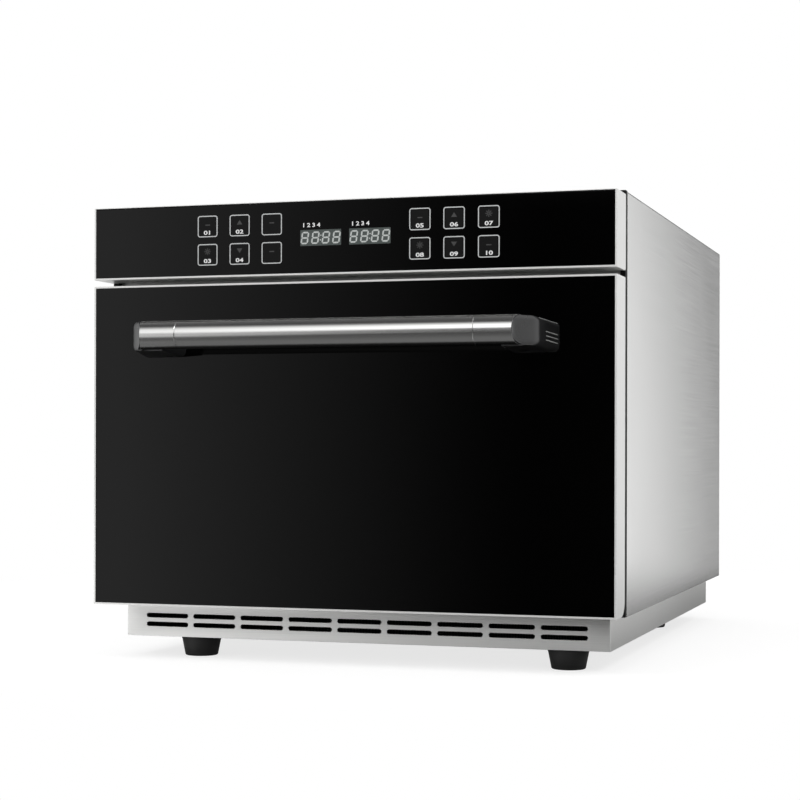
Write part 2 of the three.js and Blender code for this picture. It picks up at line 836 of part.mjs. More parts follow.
// Wire rack
const rackHalf = cavityHalf - seat - sheet - rackSideGap;
const rackBack = baffleFront - rackBackGap;
const rackFront = rackBack - rackDepth;
const rackMiddle = rackBottom + rackWire / 2;
const rackParts = [];
for (const y of [rackFront + rackWire / 2, rackBack - rackWire / 2]) {
  rackParts.push(rod("x", [y, rackMiddle], rackWire / 2, -rackHalf, rackHalf, 8));
}
for (const x of [-rackHalf + rackWire / 2, rackHalf - rackWire / 2]) {
  rackParts.push(rod("y", [x, rackMiddle], rackWire / 2, rackFront, rackBack, 8));
}
for (let i = 1; i <= rackWires; i++) {
  const centre = [-rackHalf + (2 * rackHalf * i) / (rackWires + 1), rackMiddle + rackWire / 2];
  rackParts.push(rod("y", centre, rackCrossWire / 2, rackFront + overcut, rackBack - overcut, 6));
}
piece("oven_rack", join(rackParts), brightSteel);

// Waveguide under the cavity, with the collar that enters it
const guide = {
  x: [-guideTail, insideHalf - guideEndGap],
  y: [stirrerY - guideWidth / 2, stirrerY + guideWidth / 2],
  z: [floorTop + seat, floorTop + seat + guideHeight],
};
const magnetronX = guide.x[1] - magnetronWidth / 2;
const guideRoof = [guide.z[1] - sheet - overcut, guide.z[1] + overcut];
const guideFloor = [guide.z[0] - overcut, guide.z[0] + sheet + overcut];
piece(
  "waveguide",
  hollow(guide, sheet, [])
    .add(rod("z", [0, stirrerY], collarRadius, guide.z[1] - bite, liner.z[0] - seat, 24))
    .subtract(rod("z", [0, stirrerY], collarRadius - sheet, guideRoof[0], liner.z[0] + overcut, 24))
    .subtract(rod("z", [0, stirrerY], stirrerShaftRadius + shaftClear, ...guideFloor))
    .subtract(rod("z", [magnetronX, stirrerY], antennaRadius + shaftClear, ...guideRoof)),
  zincSheet,
);

// Magnetron: yoke, anode, fins and antenna
const magnetron = {
  x: [magnetronX - magnetronWidth / 2, magnetronX + magnetronWidth / 2],
  y: [stirrerY - magnetronDepth / 2, stirrerY + magnetronDepth / 2],
  z: [guide.z[1] + seat, guide.z[1] + seat + magnetronHeight],
};
const inYoke = ([low, high]) => [low + yokeWall - bite, high - yokeWall + bite];
const antennaZ = [magnetron.z[0] - antennaLength, magnetron.z[0] + bite];
const magnetronParts = [
  hollow(magnetron, yokeWall, ["-y", "+y"]),
  rod("z", [magnetronX, stirrerY], anodeRadius, ...inYoke(magnetron.z), 20),
  rod("z", [magnetronX, stirrerY], antennaRadius, ...antennaZ, 16),
  block({
    x: [magnetronX - filterBoxHalf, magnetronX + filterBoxHalf],
    y: [stirrerY - filterBoxHalf, stirrerY + filterBoxHalf],
    z: [magnetron.z[1] - bite, magnetron.z[1] + filterBoxHeight],
  }),
];
for (let i = 1; i <= magnetronFins; i++) {
  const z = magnetron.z[0] + (magnetronHeight * i) / (magnetronFins + 1);
  const finZ = [z - finThickness / 2, z + finThickness / 2];
  magnetronParts.push(block({ x: inYoke(magnetron.x), y: magnetron.y, z: finZ }));
}
piece("magnetron", join(magnetronParts), zincSheet);

// Mode stirrer and its motor under the chassis floor
const stirrerMotorTop = bodyBottom - seat;
const stirrerZ = [cavity.z[0] + stirrerLift, cavity.z[0] + stirrerLift + sheet];
const stirrerShaftZ = [stirrerMotorTop - stirrerShaftSeat, stirrerZ[1] + bite];
piece(
  "mode_stirrer",
  rod("z", [0, stirrerY], stirrerShaftRadius, ...stirrerShaftZ, 12)
    .add(block({
      x: [-stirrerRadius, stirrerRadius],
      y: [stirrerY - stirrerBlade / 2, stirrerY + stirrerBlade / 2],
      z: stirrerZ,
    }))
    .add(block({
      x: [-stirrerBlade / 2, stirrerBlade / 2],
      y: [stirrerY - stirrerRadius, stirrerY + stirrerShortArm],
      z: stirrerZ,
    })),
  cavitySteel,
);
piece(
  "stirrer_motor",
  rod("z", [0, stirrerY], stirrerMotorRadius, stirrerMotorTop - stirrerMotorHeight, stirrerMotorTop, 24)
    .add(block({
      x: [-stirrerMotorRadius - stirrerEar, stirrerMotorRadius + stirrerEar],
      y: [stirrerY - stirrerEarHalf, stirrerY + stirrerEarHalf],
      z: [stirrerMotorTop - sheet, stirrerMotorTop],
    }))
    .subtract(
      rod(
        "z",
        [0, stirrerY],
        stirrerShaftRadius + seat,
        stirrerMotorTop - stirrerShaftSeat - overcut,
        stirrerMotorTop + overcut,
        12,
      ),
    ),
  laminations,
);

// High-voltage transformer: laminated core, two windings and foot plate
const [transformerWidth, transformerDepth, transformerHeight] = transformerSize;
const core = {
  x: [transformerX - transformerWidth / 2, transformerX + transformerWidth / 2],
  y: [rearPanel[0] - transformerInset - transformerDepth, rearPanel[0] - transformerInset],
  z: [floorTop + seat, floorTop + seat + transformerHeight],
};
const primary = [core.z[0] + windingInset, core.z[0] + windingInset + primaryHeight];
const secondary = [primary[1] + windingGap, core.z[1] - windingInset];
const windingX = [core.x[0] + windingSideInset, core.x[1] - windingSideInset];
const windingShape = rounded(...windingX, ...core.y, coreInset - bite);
piece(
  "hv_transformer",
  join([
    block({ x: core.x, y: [core.y[0] + coreInset, core.y[1] - coreInset], z: core.z }),
    extrude(windingShape, "xy", ...primary),
    extrude(windingShape, "xy", ...secondary),
    block({
      x: [core.x[0] - coreFoot, core.x[1] + coreFoot],
      y: [core.y[0] + coreFootInset, core.y[1] - coreFootInset],
      z: [core.z[0], core.z[0] + coreFootThickness],
    }),
  ]),
  laminations,
);

// High-voltage capacitor beside the transformer
const capacitorX = core.x[1] + coreFoot + capacitorGap + capacitorRadius;
const capacitorY = (core.y[0] + core.y[1]) / 2;
const canShape = rounded(
  capacitorX - capacitorRadius,
  capacitorX + capacitorRadius,
  capacitorY - capacitorWidth / 2,
  capacitorY + capacitorWidth / 2,
  capacitorRadius,
);
const canTop = floorTop + seat + capacitorHeight;
const terminal = (y) => rod("z", [capacitorX, y], terminalRadius, canTop - bite, canTop + terminalHeight, 10);
piece(
  "hv_capacitor",
  join([
    extrude(canShape, "xy", floorTop + seat, canTop, 2),
    terminal(capacitorY - terminalOffset),
    terminal(capacitorY + terminalOffset),
  ]),
  greyPlastic,
);

// Cooling fan on the rear panel: frame with hub and struts, and its blades
const fanFrame = {
  x: [fanCentre[0] - coolingFanSize / 2, fanCentre[0] + coolingFanSize / 2],
  y: [rearPanel[0] - seat - coolingFanDepth, rearPanel[0] - seat],
  z: [fanCentre[1] - coolingFanSize / 2, fanCentre[1] + coolingFanSize / 2],
};
const boreRadius = coolingFanSize / 2 - coolingFanWall;
const fanShape = rounded(...fanFrame.x, ...fanFrame.z, coolingFanCorner);
const strutY = [fanFrame.y[1] - strutDepth, fanFrame.y[1]];
const inward = (end, i) => (i === 0 ? end + strutHalf : end - strutHalf);
piece(
  "cooling_fan_frame",
  join([
    plate(fanShape, [disc(...fanCentre, boreRadius, 32)], "xz", ...fanFrame.y),
    rod("y", fanCentre, coolingHubRadius, ...strutY, 20),
    block({ x: fanFrame.x.map(inward), y: strutY, z: [fanCentre[1] - strutHalf, fanCentre[1] + strutHalf] }),
    block({ x: [fanCentre[0] - strutHalf, fanCentre[0] + strutHalf], y: strutY, z: fanFrame.z.map(inward) }),
  ]),
  blackPlastic,
);
const tipRadius = boreRadius - coolingTipGap;
const rotorY = [fanFrame.y[0] + coolingSetBack, strutY[0] - seat];
const bladeParts = [rod("y", fanCentre, coolingHubRadius, ...rotorY, 20)];
for (let i = 0; i < coolingBlades; i++) {
  const blade = new THREE.BoxGeometry(tipRadius, coolingBladeThickness, coolingBladeWidth);
  blade.rotateX(coolingBladePitch);
  blade.translate(tipRadius / 2 + coolingBladeThickness, 0, 0);
  blade.rotateY((2 * Math.PI * i) / coolingBlades);
  blade.translate(fanCentre[0], (rotorY[0] + rotorY[1]) / 2, fanCentre[1]);
  bladeParts.push(solid(blade).intersect(rod("y", fanCentre, tipRadius, ...rotorY, 24)));
}
piece("cooling_blades", join(bladeParts), blackPlastic);

// Board tray over the lagging, and the relay board on it
const trayHalf = cavityHalf - traySideGap;
const trayTop = wool.z[1] + trayHeight;
const trayBack = cavity.y[0] + trayDepth;
piece(
  "board_tray",
  hollow(
    { x: [-trayHalf, trayHalf], y: [cavity.y[0], trayBack], z: [wool.z[1] + seat, trayTop] },
    sheet,
    ["-z", "+y"],
  ),
  zincSheet,
);
const boardTop = trayTop + standoffHeight + boardThickness;
const boardY = [cavity.y[0] + boardFrontGap, trayBack - boardBackGap];
const boardHalf = trayHalf - boardSideGap;
const boardZ = [boardTop - boardThickness, boardTop];
const boardParts = [block({ x: [-boardHalf, boardHalf], y: boardY, z: boardZ })];
function boardBox([width, depth, height], x, front) {
  return block({
    x: [x - width / 2, x + width / 2],
    y: [front, front + depth],
    z: [boardTop - bite, boardTop + height],
  });
}
for (const side of [-1, 1]) {
  for (const y of [boardY[0] + standoffInset, boardY[1] - standoffInset]) {
    const centre = [side * (boardHalf - standoffInset), y];
    boardParts.push(rod("z", centre, standoffRadius, trayTop + seat, boardTop - bite, 8));
  }
  for (let i = 0; i < relaysPerSide; i++) {
    const x = side * (boardHalf - relayInset - i * relayPitch);
    boardParts.push(boardBox(relaySize, x, boardY[0] + relayFrontGap));
  }
}
boardParts.push(boardBox(coilSize, coilOffset, boardY[1] - coilBackGap - coilSize[1]));
piece("relay_board", join(boardParts), greenBoard);

// Control head: edge frame with a ledge behind the glass
const headBox = { x: [-half, half], y: [0, headDepth], z: [headBottom, headTop] };
const ledgeFront = glassThickness + seat;
function ledge(box) {
  return hollow({ ...box, y: [ledgeFront, ledgeFront + sheet] }, ledgeWidth, ["-y", "+y"]);
}
piece("control_housing", hollow(headBox, rim, ["-y", "+y"]).add(ledge(headBox)), brushedSteel);
function faceGlass(box) {
  return block({
    x: [box.x[0] + rim + seat, box.x[1] - rim - seat],
    y: [0, glassThickness],
    z: [box.z[0] + rim + seat, box.z[1] - rim - seat],
  });
}

// Head glass. Its touch keys are printed on it and have no shape of their own.
piece("control_glass", faceGlass(headBox), blackGlass);

// Display modules behind the glass, and the touch board that carries them
const displayFront = glassThickness + seat;
const displayZ = headBottom + displayLift;
for (const side of [-1, 1]) {
  const made = block({
    x: [displayOffset - displayWidth / 2, displayOffset + displayWidth / 2],
    y: [displayFront, displayFront + displayDepth],
    z: [displayZ - displayHeight / 2, displayZ + displayHeight / 2],
  });
  piece(side > 0 ? "display_right" : "display_left", made, displayFace, oven, side);
}
const touchY = [displayFront + displayDepth + seat, displayFront + displayDepth + seat + boardThickness];
const bracketHalf = half - headBracketInset;
const bracketZ = [headBottom + rim + seat, headTop - rim - seat];
const touchZ = [bracketZ[0] + sheet, bracketZ[1] - sheet];
piece("touch_board", block({ x: [-bracketHalf, bracketHalf], y: touchY, z: touchZ }), greenBoard);

// Head bracket: a box channel from the front frame to the touch board
const bracketBox = { x: [-bracketHalf, bracketHalf], y: [touchY[1] + seat, bodyFront - seat], z: bracketZ };
const wireHole = {
  x: [-wireHalf, wireHalf],
  y: [bracketBox.y[1] - sheet - overcut, bracketBox.y[1] + overcut],
  z: [headMiddle - wireRise, headMiddle + wireRise],
};
piece("head_bracket", hollow(bracketBox, sheet, ["-y"]).subtract(block(wireHole)), zincSheet);

// Hinge line, on the door's own round lower corner
const hingeY = hingeInset;
const hingeZ = hingeInset;
const armOuter = half - armInset;
const armX = [armOuter - armThickness, armOuter];

// Hinge arms, fixed to the front frame and reaching into the door
const armFootFront = bodyFront - seat - sheet;
pair(
  "hinge_arm",
  join([
    block({ x: armX, y: [hingeY, bodyFront - seat], z: [hingeZ - armHeight / 2, hingeZ + armHeight / 2] }),
    rod("x", [hingeY, hingeZ], armBoss, ...armX, 24),
    block({
      x: [armX[0] - armFoot, armX[1]],
      y: [armFootFront, bodyFront - seat],
      z: [hingeZ - armHeight / 2, hingeZ - armHeight / 2 + armFootHeight],
    }),
  ]).subtract(rod("x", [hingeY, hingeZ], pinRadius + pinClearance, armX[0] - overcut, armX[1] + overcut, 24)),
  zincSheet,
);

// Door shell: edge frame, glass ledge, hinge cheeks and round lower rear corners
const cornerRadius = hingeInset;
const doorSide = new THREE.Shape();
doorSide.moveTo(0, 0);
doorSide.lineTo(doorDepth - cornerRadius, 0);
doorSide.absarc(doorDepth - cornerRadius, cornerRadius, cornerRadius, -Math.PI / 2, 0, false);
doorSide.lineTo(doorDepth, doorHeight);
doorSide.lineTo(0, doorHeight);
const doorBox = { x: [-half, half], y: [0, doorDepth], z: [0, doorHeight] };
const cheekX = [armX[0] - cheekGap - rim, armX[0] - cheekGap];
const armChannel = {
  x: [cheekX[1], half - rim],
  y: [hingeY - armBoss - channelClear, doorDepth + overcut],
  z: [-overcut, rim + overcut],
};
const mirroredRange = ([low, high]) => [-high, -low];
const cheek = {
  y: [ledgeFront + sheet - bite, hingeY + cheekReach],
  z: [rim - bite, hingeZ + cheekReach],
};
const doorOuter = extrude(doorSide, "yz", -half, half, 4);
const doorInner = block({
  x: [-half + rim, half - rim],
  y: [-overcut, doorDepth + overcut],
  z: [rim, doorHeight - rim],
});
function boredCheek(x) {
  return block({ ...cheek, x }).subtract(
    rod("x", [hingeY, hingeZ], pinRadius + seat, x[0] - overcut, x[1] + overcut),
  );
}
piece(
  "door_shell",
  doorOuter
    .subtract(doorInner)
    .add(ledge(doorBox))
    .subtract(block(armChannel))
    .subtract(block({ ...armChannel, x: mirroredRange(armChannel.x) }))
    .add(boredCheek(cheekX))
    .add(boredCheek(mirroredRange(cheekX))),
  brushedSteel,
  door,
);

// Door glass
piece("door_glass", faceGlass(doorBox), blackGlass, door);

// Hinge pins
const pinRod = rod("x", [hingeY, hingeZ], pinRadius, cheekX[0] - pinProud, half - rim - seat, 24);
pair("hinge_pin", pinRod, brightSteel, door);

// Inner panel of the door: a sheet with folded edges and a raised plug over the cavity opening
const panelHalf = half - panelEdge;
const panelBack = doorDepth - panelSetIn;
const panelZ = [rim + seat, doorHeight - rim - seat];
const plug = {
  x: [-cavityHalf - plugMargin, cavityHalf + plugMargin],
  y: [panelBack - sheet, panelBack + plugDepth],
  z: [cavity.z[0] - plugRise, cavity.z[1] + plugRise],
};
const panelBox = { x: [-panelHalf, panelHalf], y: [panelBack - panelLip, panelBack], z: panelZ };
const cornerRelief = {
  x: [cheekX[0] - channelClear, cheekX[1] + channelClear],
  y: [0, doorDepth],
  z: [0, hingeZ + cheekReach + channelClear],
};
piece(
  "door_inner_panel",
  hollow(panelBox, sheet, ["-y"])
    .add(block(plug))
    .subtract(block({
      x: [plug.x[0] + sheet, plug.x[1] - sheet],
      y: [panelBack - sheet - overcut, plug.y[1] - sheet],
      z: [plug.z[0] + sheet, plug.z[1] - sheet],
    }))
    .subtract(block(cornerRelief))
    .subtract(block({ ...cornerRelief, x: mirroredRange(cornerRelief.x) })),
  brushedSteel,
  door,
);

// Gasket round the plug's face
piece(
  "door_gasket",
  hollow(
    {
      x: [plug.x[0] + gasketInset, plug.x[1] - gasketInset],
      y: [plug.y[1] + seat, bodyFront - 2 * seat],
      z: [plug.z[0] + gasketInset, plug.z[1] - gasketInset],
    },
    gasketWidth,
    ["-y", "+y"],
  ),
  blackRubber,
  door,
);

// Latch tongues on the door, which enter the front frame
const tongueTip = frameBack + tongueReach;
pair(
  "latch_tongue",
  block({
    x: [tongueOffset - tongueWidth / 2, tongueOffset + tongueWidth / 2],
    y: [panelBack + seat + sheet - bite, tongueTip],
    z: [tongueLow, tongueHigh],
  }).add(
    block({
      x: [tongueOffset - tongueWidth, tongueOffset + tongueWidth],
      y: [panelBack + seat, panelBack + seat + sheet],
      z: [tongueLow - tongueBaseRise, tongueHigh + tongueBaseRise],
    }),
  ),
  brightSteel,
  door,
);

// Interlock switches behind the latch slots, each on its angle bracket, and their plungers
const plungerZ = (tongueLow + tongueHigh) / 2;
const plungerFront = tongueTip + seat;
const switchFront = plungerFront + plungerTravel + plungerShow;
const switchBox = {
  x: [tongueOffset - switchInnerHalf, tongueOffset + switchOuterHalf],
  y: [switchFront, switchFront + switchDepth],
  z: [plungerZ - switchHeight / 2, plungerZ + switchHeight / 2],
};
const bracketX = [switchBox.x[1] - bite, switchBox.x[1] - bite + sheet];
const switchBore = [switchFront - overcut, switchFront + switchBoreDepth];
pair(
  "interlock_switch",
  join([
    block(switchBox),
    block({ x: bracketX, y: [frameBack + seat, switchBox.y[1]], z: switchBox.z }),
    block({
      x: [bracketX[0], bracketX[0] + switchFoot],
      y: [frameBack + seat, frameBack + seat + sheet],
      z: switchBox.z,
    }),
  ]).subtract(rod("y", [tongueOffset, plungerZ], plungerRadius + seat, ...switchBore, 12)),
  blackPlastic,
);
pair(
  "switch_plunger",
  rod("y", [tongueOffset, plungerZ], plungerRadius, plungerFront, switchFront + plungerSeat, 12).add(
    rod("y", [tongueOffset, plungerZ], plungerHead, plungerFront, plungerFront + plungerHeadThickness, 12),
  ),
  greyPlastic,
);

// Handle bar
const barCentre = [-barCentreGap, barHeight];
const barPipe = pipe("x", barCentre, barRadius, barRadius - barWall, -barHalf, barHalf, barSides);
piece("handle_bar", barPipe, brightSteel, door);

// Slanted plane that cuts the outer end of each sleeve, as a wedge of material to take away
const seamFront = barHalf + seat + sleeveLength;
function beyondMitre(inset) {
  const slope = mitreRun / mitreRise;
  const far = seamFront + 4 * mitreRun;
  const near = barFront - overcut;
  const back = barBack + overcut;
  const atDepth = (y) => seamFront - inset + (y - barFront) * slope;
  const wedge = new THREE.Shape([
    new THREE.Vector2(atDepth(near), near),
    new THREE.Vector2(far, near),
    new THREE.Vector2(far, back),
    new THREE.Vector2(atDepth(back), back),
  ]);
  return extrude(wedge, "xy", barHeight - 2 * barRadius, barHeight + 2 * barRadius);
}

// Sleeves: the visible ends of the bar, each with a spigot inside the bar and its slanted end open
const boreOfSleeve = barRadius - barWall;
const stemInner = seamFront + mitreRun - stemWidth;
const sleeveEnd = seamFront + mitreRun * 2;
pair(
  "handle_sleeve",
  pipe("x", barCentre, barRadius, boreOfSleeve, barHalf + seat, sleeveEnd, barSides)
    .add(rod("x", barCentre, boreOfSleeve + bite, barHalf + seat, barHalf + seat + sleeveCollar, barSides))
    .add(rod("x", barCentre, boreOfSleeve - seat, barHalf - spigotLength, barHalf + seat + bite, barSides))
    .subtract(beyondMitre(0))
    .subtract(
      block({
        x: [stemInner, sleeveEnd + overcut],
        y: [-barCentreGap + stemInset, barBack + overcut],
        z: [barHeight - 2 * barRadius, barHeight + 2 * barRadius],
      }),
    ),
  brightSteel,
  door,
);

// Brackets: a plug in each sleeve, and a stem back to the door with short ridges on its outer side
const stemFoot = -seat;
const stemFront = -barCentreGap + stemInset + seat;
const stemOuter = seamFront + mitreRun;
const stemOutline = new THREE.Shape([
  new THREE.Vector2(stemInner + seat, stemFront),
  new THREE.Vector2(stemOuter - stemFrontInset, stemFront),
  new THREE.Vector2(stemOuter + stemElbow[0], barBack - stemElbow[1]),
  new THREE.Vector2(stemOuter + stemSplay, stemFoot - stemFootDepth),
  new THREE.Vector2(stemOuter + stemSplay, stemFoot),
  new THREE.Vector2(stemInner - stemFlare, stemFoot),
  new THREE.Vector2(stemInner - stemFlare, stemFoot - stemFootDepth),
  new THREE.Vector2(stemInner + seat, barBack + stemNeck),
]);
const stemZ = [barHeight - stemHeight / 2 - stemDrop, barHeight + stemHeight / 2 - stemDrop];
const ridges = [];
for (let i = 0; i < ridgeCount; i++) {
  const z = barHeight - ridgeDrop + (i - (ridgeCount - 1) / 2) * ridgePitch;
  ridges.push(
    block({
      x: [seamFront, stemOuter + stemSplay + ridgeDepth],
      y: [stemFoot - ridgeSetBack - ridgeLength, stemFoot - ridgeSetBack],
      z: [z - ridgeHeight / 2, z + ridgeHeight / 2],
    }),
  );
}
const ridgeBody = extrude(
  new THREE.Shape(stemOutline.getPoints().map((p) => new THREE.Vector2(p.x + ridgeDepth, p.y))),
  "xy",
  ...stemZ,
);
pair(
  "handle_bracket",
  rod("x", barCentre, boreOfSleeve - seat, barHalf + seat + plugSetBack, sleeveEnd, barSides)
    .subtract(beyondMitre(plugMitreInset))
    .add(extrude(stemOutline, "xy", ...stemZ))
    .add(join(ridges).intersect(ridgeBody)),
  darkCasting,
  door,
);

// The origin goes under the middle of the oven, on the surface that the feet stand on
const extent = new THREE.Box3().setFromObject(oven);
oven.position.set(-(extent.min.x + extent.max.x) / 2, -(extent.min.y + extent.max.y) / 2, -extent.min.z);

export default oven;
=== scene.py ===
import json
import math

import bmesh
import bpy
from mathutils import Matrix, Vector


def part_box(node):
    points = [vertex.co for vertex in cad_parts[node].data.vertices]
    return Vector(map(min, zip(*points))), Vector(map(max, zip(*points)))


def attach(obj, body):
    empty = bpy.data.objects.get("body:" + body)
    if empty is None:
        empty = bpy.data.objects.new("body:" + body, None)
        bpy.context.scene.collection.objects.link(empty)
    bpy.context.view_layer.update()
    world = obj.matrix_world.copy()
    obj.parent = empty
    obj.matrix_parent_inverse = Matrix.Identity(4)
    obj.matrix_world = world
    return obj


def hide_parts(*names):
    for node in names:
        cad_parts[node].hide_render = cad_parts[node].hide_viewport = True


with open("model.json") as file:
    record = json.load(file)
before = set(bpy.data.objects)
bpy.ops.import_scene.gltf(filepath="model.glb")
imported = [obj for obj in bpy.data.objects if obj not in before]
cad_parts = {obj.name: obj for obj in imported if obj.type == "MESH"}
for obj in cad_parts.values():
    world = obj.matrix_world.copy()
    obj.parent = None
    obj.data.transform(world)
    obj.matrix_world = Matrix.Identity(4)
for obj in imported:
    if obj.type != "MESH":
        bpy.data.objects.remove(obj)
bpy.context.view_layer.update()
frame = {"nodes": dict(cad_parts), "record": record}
scene = bpy.context.scene
MM = 0.001
BASE = {m["slot"]: m["base_color"] for m in frame["record"]["materials"]}


# Points of outlines
def arc(u, v, radius, start, end, steps):
    """Points on a circle's arc, angles in degrees."""
    angles = [math.radians(start + (end - start) * i / steps) for i in range(steps + 1)]
    return [(u + radius * math.cos(a), v + radius * math.sin(a)) for a in angles]


def circle(u, v, radius, sides=16):
    return arc(u, v, radius, 0, 360 - 360 / sides, sides - 1)


def rounded(u0, v0, u1, v1, radius, steps=8):
    """A rectangle with rounded corners."""
    return (
        arc(u1 - radius, v0 + radius, radius, -90, 0, steps)
        + arc(u1 - radius, v1 - radius, radius, 0, 90, steps)
        + arc(u0 + radius, v1 - radius, radius, 90, 180, steps)
        + arc(u0 + radius, v0 + radius, radius, 180, 270, steps)
    )


def inset_loop(low, high, inset, radius, steps=8):
    """A rounded rectangle moved inward from two corners (u, v)."""
    return rounded(low[0] + inset, low[1] + inset, high[0] - inset, high[1] - inset, radius, steps)


def slot_outline(u, v, length, height, steps=10):
    """A slot with round ends about its middle."""
    r = height / 2
    reach = length / 2 - r
    return arc(u + reach, v, r, -90, 90, steps) + arc(u - reach, v, r, 90, 270, steps)


def mirrored(side, points):
    return [(side * u, v) for u, v in points]


def span(side, near, far):
    """Two places on the right side (1) or the left side (-1), the lower one first."""
    return sorted((side * near, side * far))


PLACE = {
    "x": lambda u, v, w: (w, u, v),
    "y": lambda u, v, w: (u, w, v),
    "z": lambda u, v, w: (u, v, w),
}


# Mesh building. skin, loft, prism, block, lathe and tube add a closed body to a bmesh and give it back.
def skin(bm, rings, closed=False):
    """Joins rings of vertices by quads. Unless they close on themselves, each end gets a face."""
    if not closed:
        bm.faces.new(rings[0])
        bm.faces.new(rings[-1])
    for ring, after in zip(rings, rings[1:] + rings[:1] * closed):
        for i in range(len(ring)):
            j = (i + 1) % len(ring)
            bm.faces.new((ring[i], ring[j], after[j], after[i]))
    return bm


def loft(bm, loops, axis, closed=False):
    """Joins loops of equal length, each (outline, place along the axis)."""
    rings = [[bm.verts.new(PLACE[axis](u, v, w)) for u, v in outline] for outline, w in loops]
    return skin(bm, rings, closed)


def prism(bm, outline, axis, low, high):
    return loft(bm, [(outline, low), (outline, high)], axis)


def block(bm, low, high):
    outline = [(low[0], low[1]), (high[0], low[1]), (high[0], high[1]), (low[0], high[1])]
    return prism(bm, outline, "z", low[2], high[2])


def turned_ring(bm, axis, centre, w, radius, sides):
    """Vertices round an axis. The radius is a number or a function of the angle."""
    ring = []
    for i in range(sides):
        a = 2 * math.pi * i / sides
        r = radius(a) if callable(radius) else radius
        ring.append(bm.verts.new(PLACE[axis](centre[0] + r * math.cos(a), centre[1] + r * math.sin(a), w)))
    return ring


def lathe(bm, axis, centre, profile, sides):
    """Turns (place along the axis, radius) points. Radii of 0 close the ends, others make it hollow."""
    rings = [turned_ring(bm, axis, centre, w, r, sides if r else 1) for w, r in profile]
    hollow = len(rings[0]) > 1
    for ring, after in zip(rings, rings[1:] + rings[:1] * hollow):
        for i in range(sides):
            j = (i + 1) % sides
            corners = [ring[i % len(ring)], ring[j % len(ring)], after[j % len(after)], after[i % len(after)]]
            bm.faces.new(list(dict.fromkeys(corners)))
    return bm


def tube(bm, points, radius, sides=16):
    """A round rod along points, with flat ends."""
    points = [Vector(p) for p in points]
    side = None
    rings = []
    for i, point in enumerate(points):
        ahead = points[min(i + 1, len(points) - 1)] - points[max(i - 1, 0)]
        ahead.normalize()
        if side is None:
            side = ahead.orthogonal()
        side = (side - ahead * side.dot(ahead)).normalized()
        across = ahead.cross(side)
        ring = []
        for k in range(sides):
            angle = 2 * math.pi * k / sides
            ring.append(bm.verts.new(point + radius * (math.cos(angle) * side + math.sin(angle) * across)))
        rings.append(ring)
    return skin(bm, rings)


def bent(corners, radius, steps=6):
    """A path through corner points with each inner corner rounded."""
    corners = [Vector(c) for c in corners]
    path = [corners[0]]
    for before, corner, after in zip(corners, corners[1:], corners[2:]):
        start = corner + (before - corner).normalized() * radius
        end = corner + (after - corner).normalized() * radius
        for i in range(steps + 1):
            t = i / steps
            path.append(start * (1 - t) ** 2 + corner * 2 * t * (1 - t) + end * t ** 2)
    path.append(corners[-1])
    return path


def smooth(mesh, sharp=32):
    mesh.shade_smooth()
    mesh.set_sharp_from_angle(angle=math.radians(sharp))


def as_object(name, bm, sharp=32):
    bmesh.ops.recalc_face_normals(bm, faces=bm.faces)
    mesh = bpy.data.meshes.new(name)
    bm.to_mesh(mesh)
    bm.free()
    smooth(mesh, sharp)
    obj = bpy.data.objects.new(name, mesh)
    scene.collection.objects.link(obj)
    return obj


def boolean(obj, bm, operation="DIFFERENCE"):
    """Cuts or joins the solids of a bmesh, and keeps the result as the object's mesh."""
    tool = as_object(obj.name + "_tool", bm)
    modifier = obj.modifiers.new("boolean", "BOOLEAN")
    modifier.operation = operation
    modifier.solver = "EXACT"
    modifier.use_self = True
    modifier.object = tool
    depsgraph = bpy.context.evaluated_depsgraph_get()
    made = bpy.data.meshes.new_from_object(obj.evaluated_get(depsgraph))
    obj.modifiers.clear()
    obj.data = made
    smooth(made)
    bpy.data.objects.remove(tool)
    return obj


def soften(obj, width, segments=2, angle=40):
    """Rounds an object's sharp edges by a real radius."""
    bevel = obj.modifiers.new("edges", "BEVEL")
    bevel.width = width
    bevel.segments = segments
    bevel.limit_method = "ANGLE"
    bevel.angle_limit = math.radians(angle)
    bevel.harden_normals = True
    bevel.use_clamp_overlap = True
    return obj


def dress(obj, look, *nodes, body="chassis"):
    """Gives a piece its finish and its body, and hides the nodes it stands for."""
    obj.data.materials.clear()
    obj.data.materials.append(look)
    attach(obj, body)
    if nodes:
        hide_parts(*nodes)


def piece(name, bm, look, *nodes, body="chassis", sharp=32):
    dress(as_object(name, bm, sharp), look, *nodes, body=body)


# Node graphs
class Signal:
    """A node's output. Arithmetic with it makes further nodes."""

    def __init__(self, graph, socket):
        self.graph = graph
        self.socket = socket

    def __add__(self, other):
        return self.graph.math("ADD", self, other)

    def __sub__(self, other):
        return self.graph.math("SUBTRACT", self, other)

    def __rsub__(self, other):
        return self.graph.math("SUBTRACT", other, self)

    def __mul__(self, other):
        return self.graph.math("MULTIPLY", self, other)


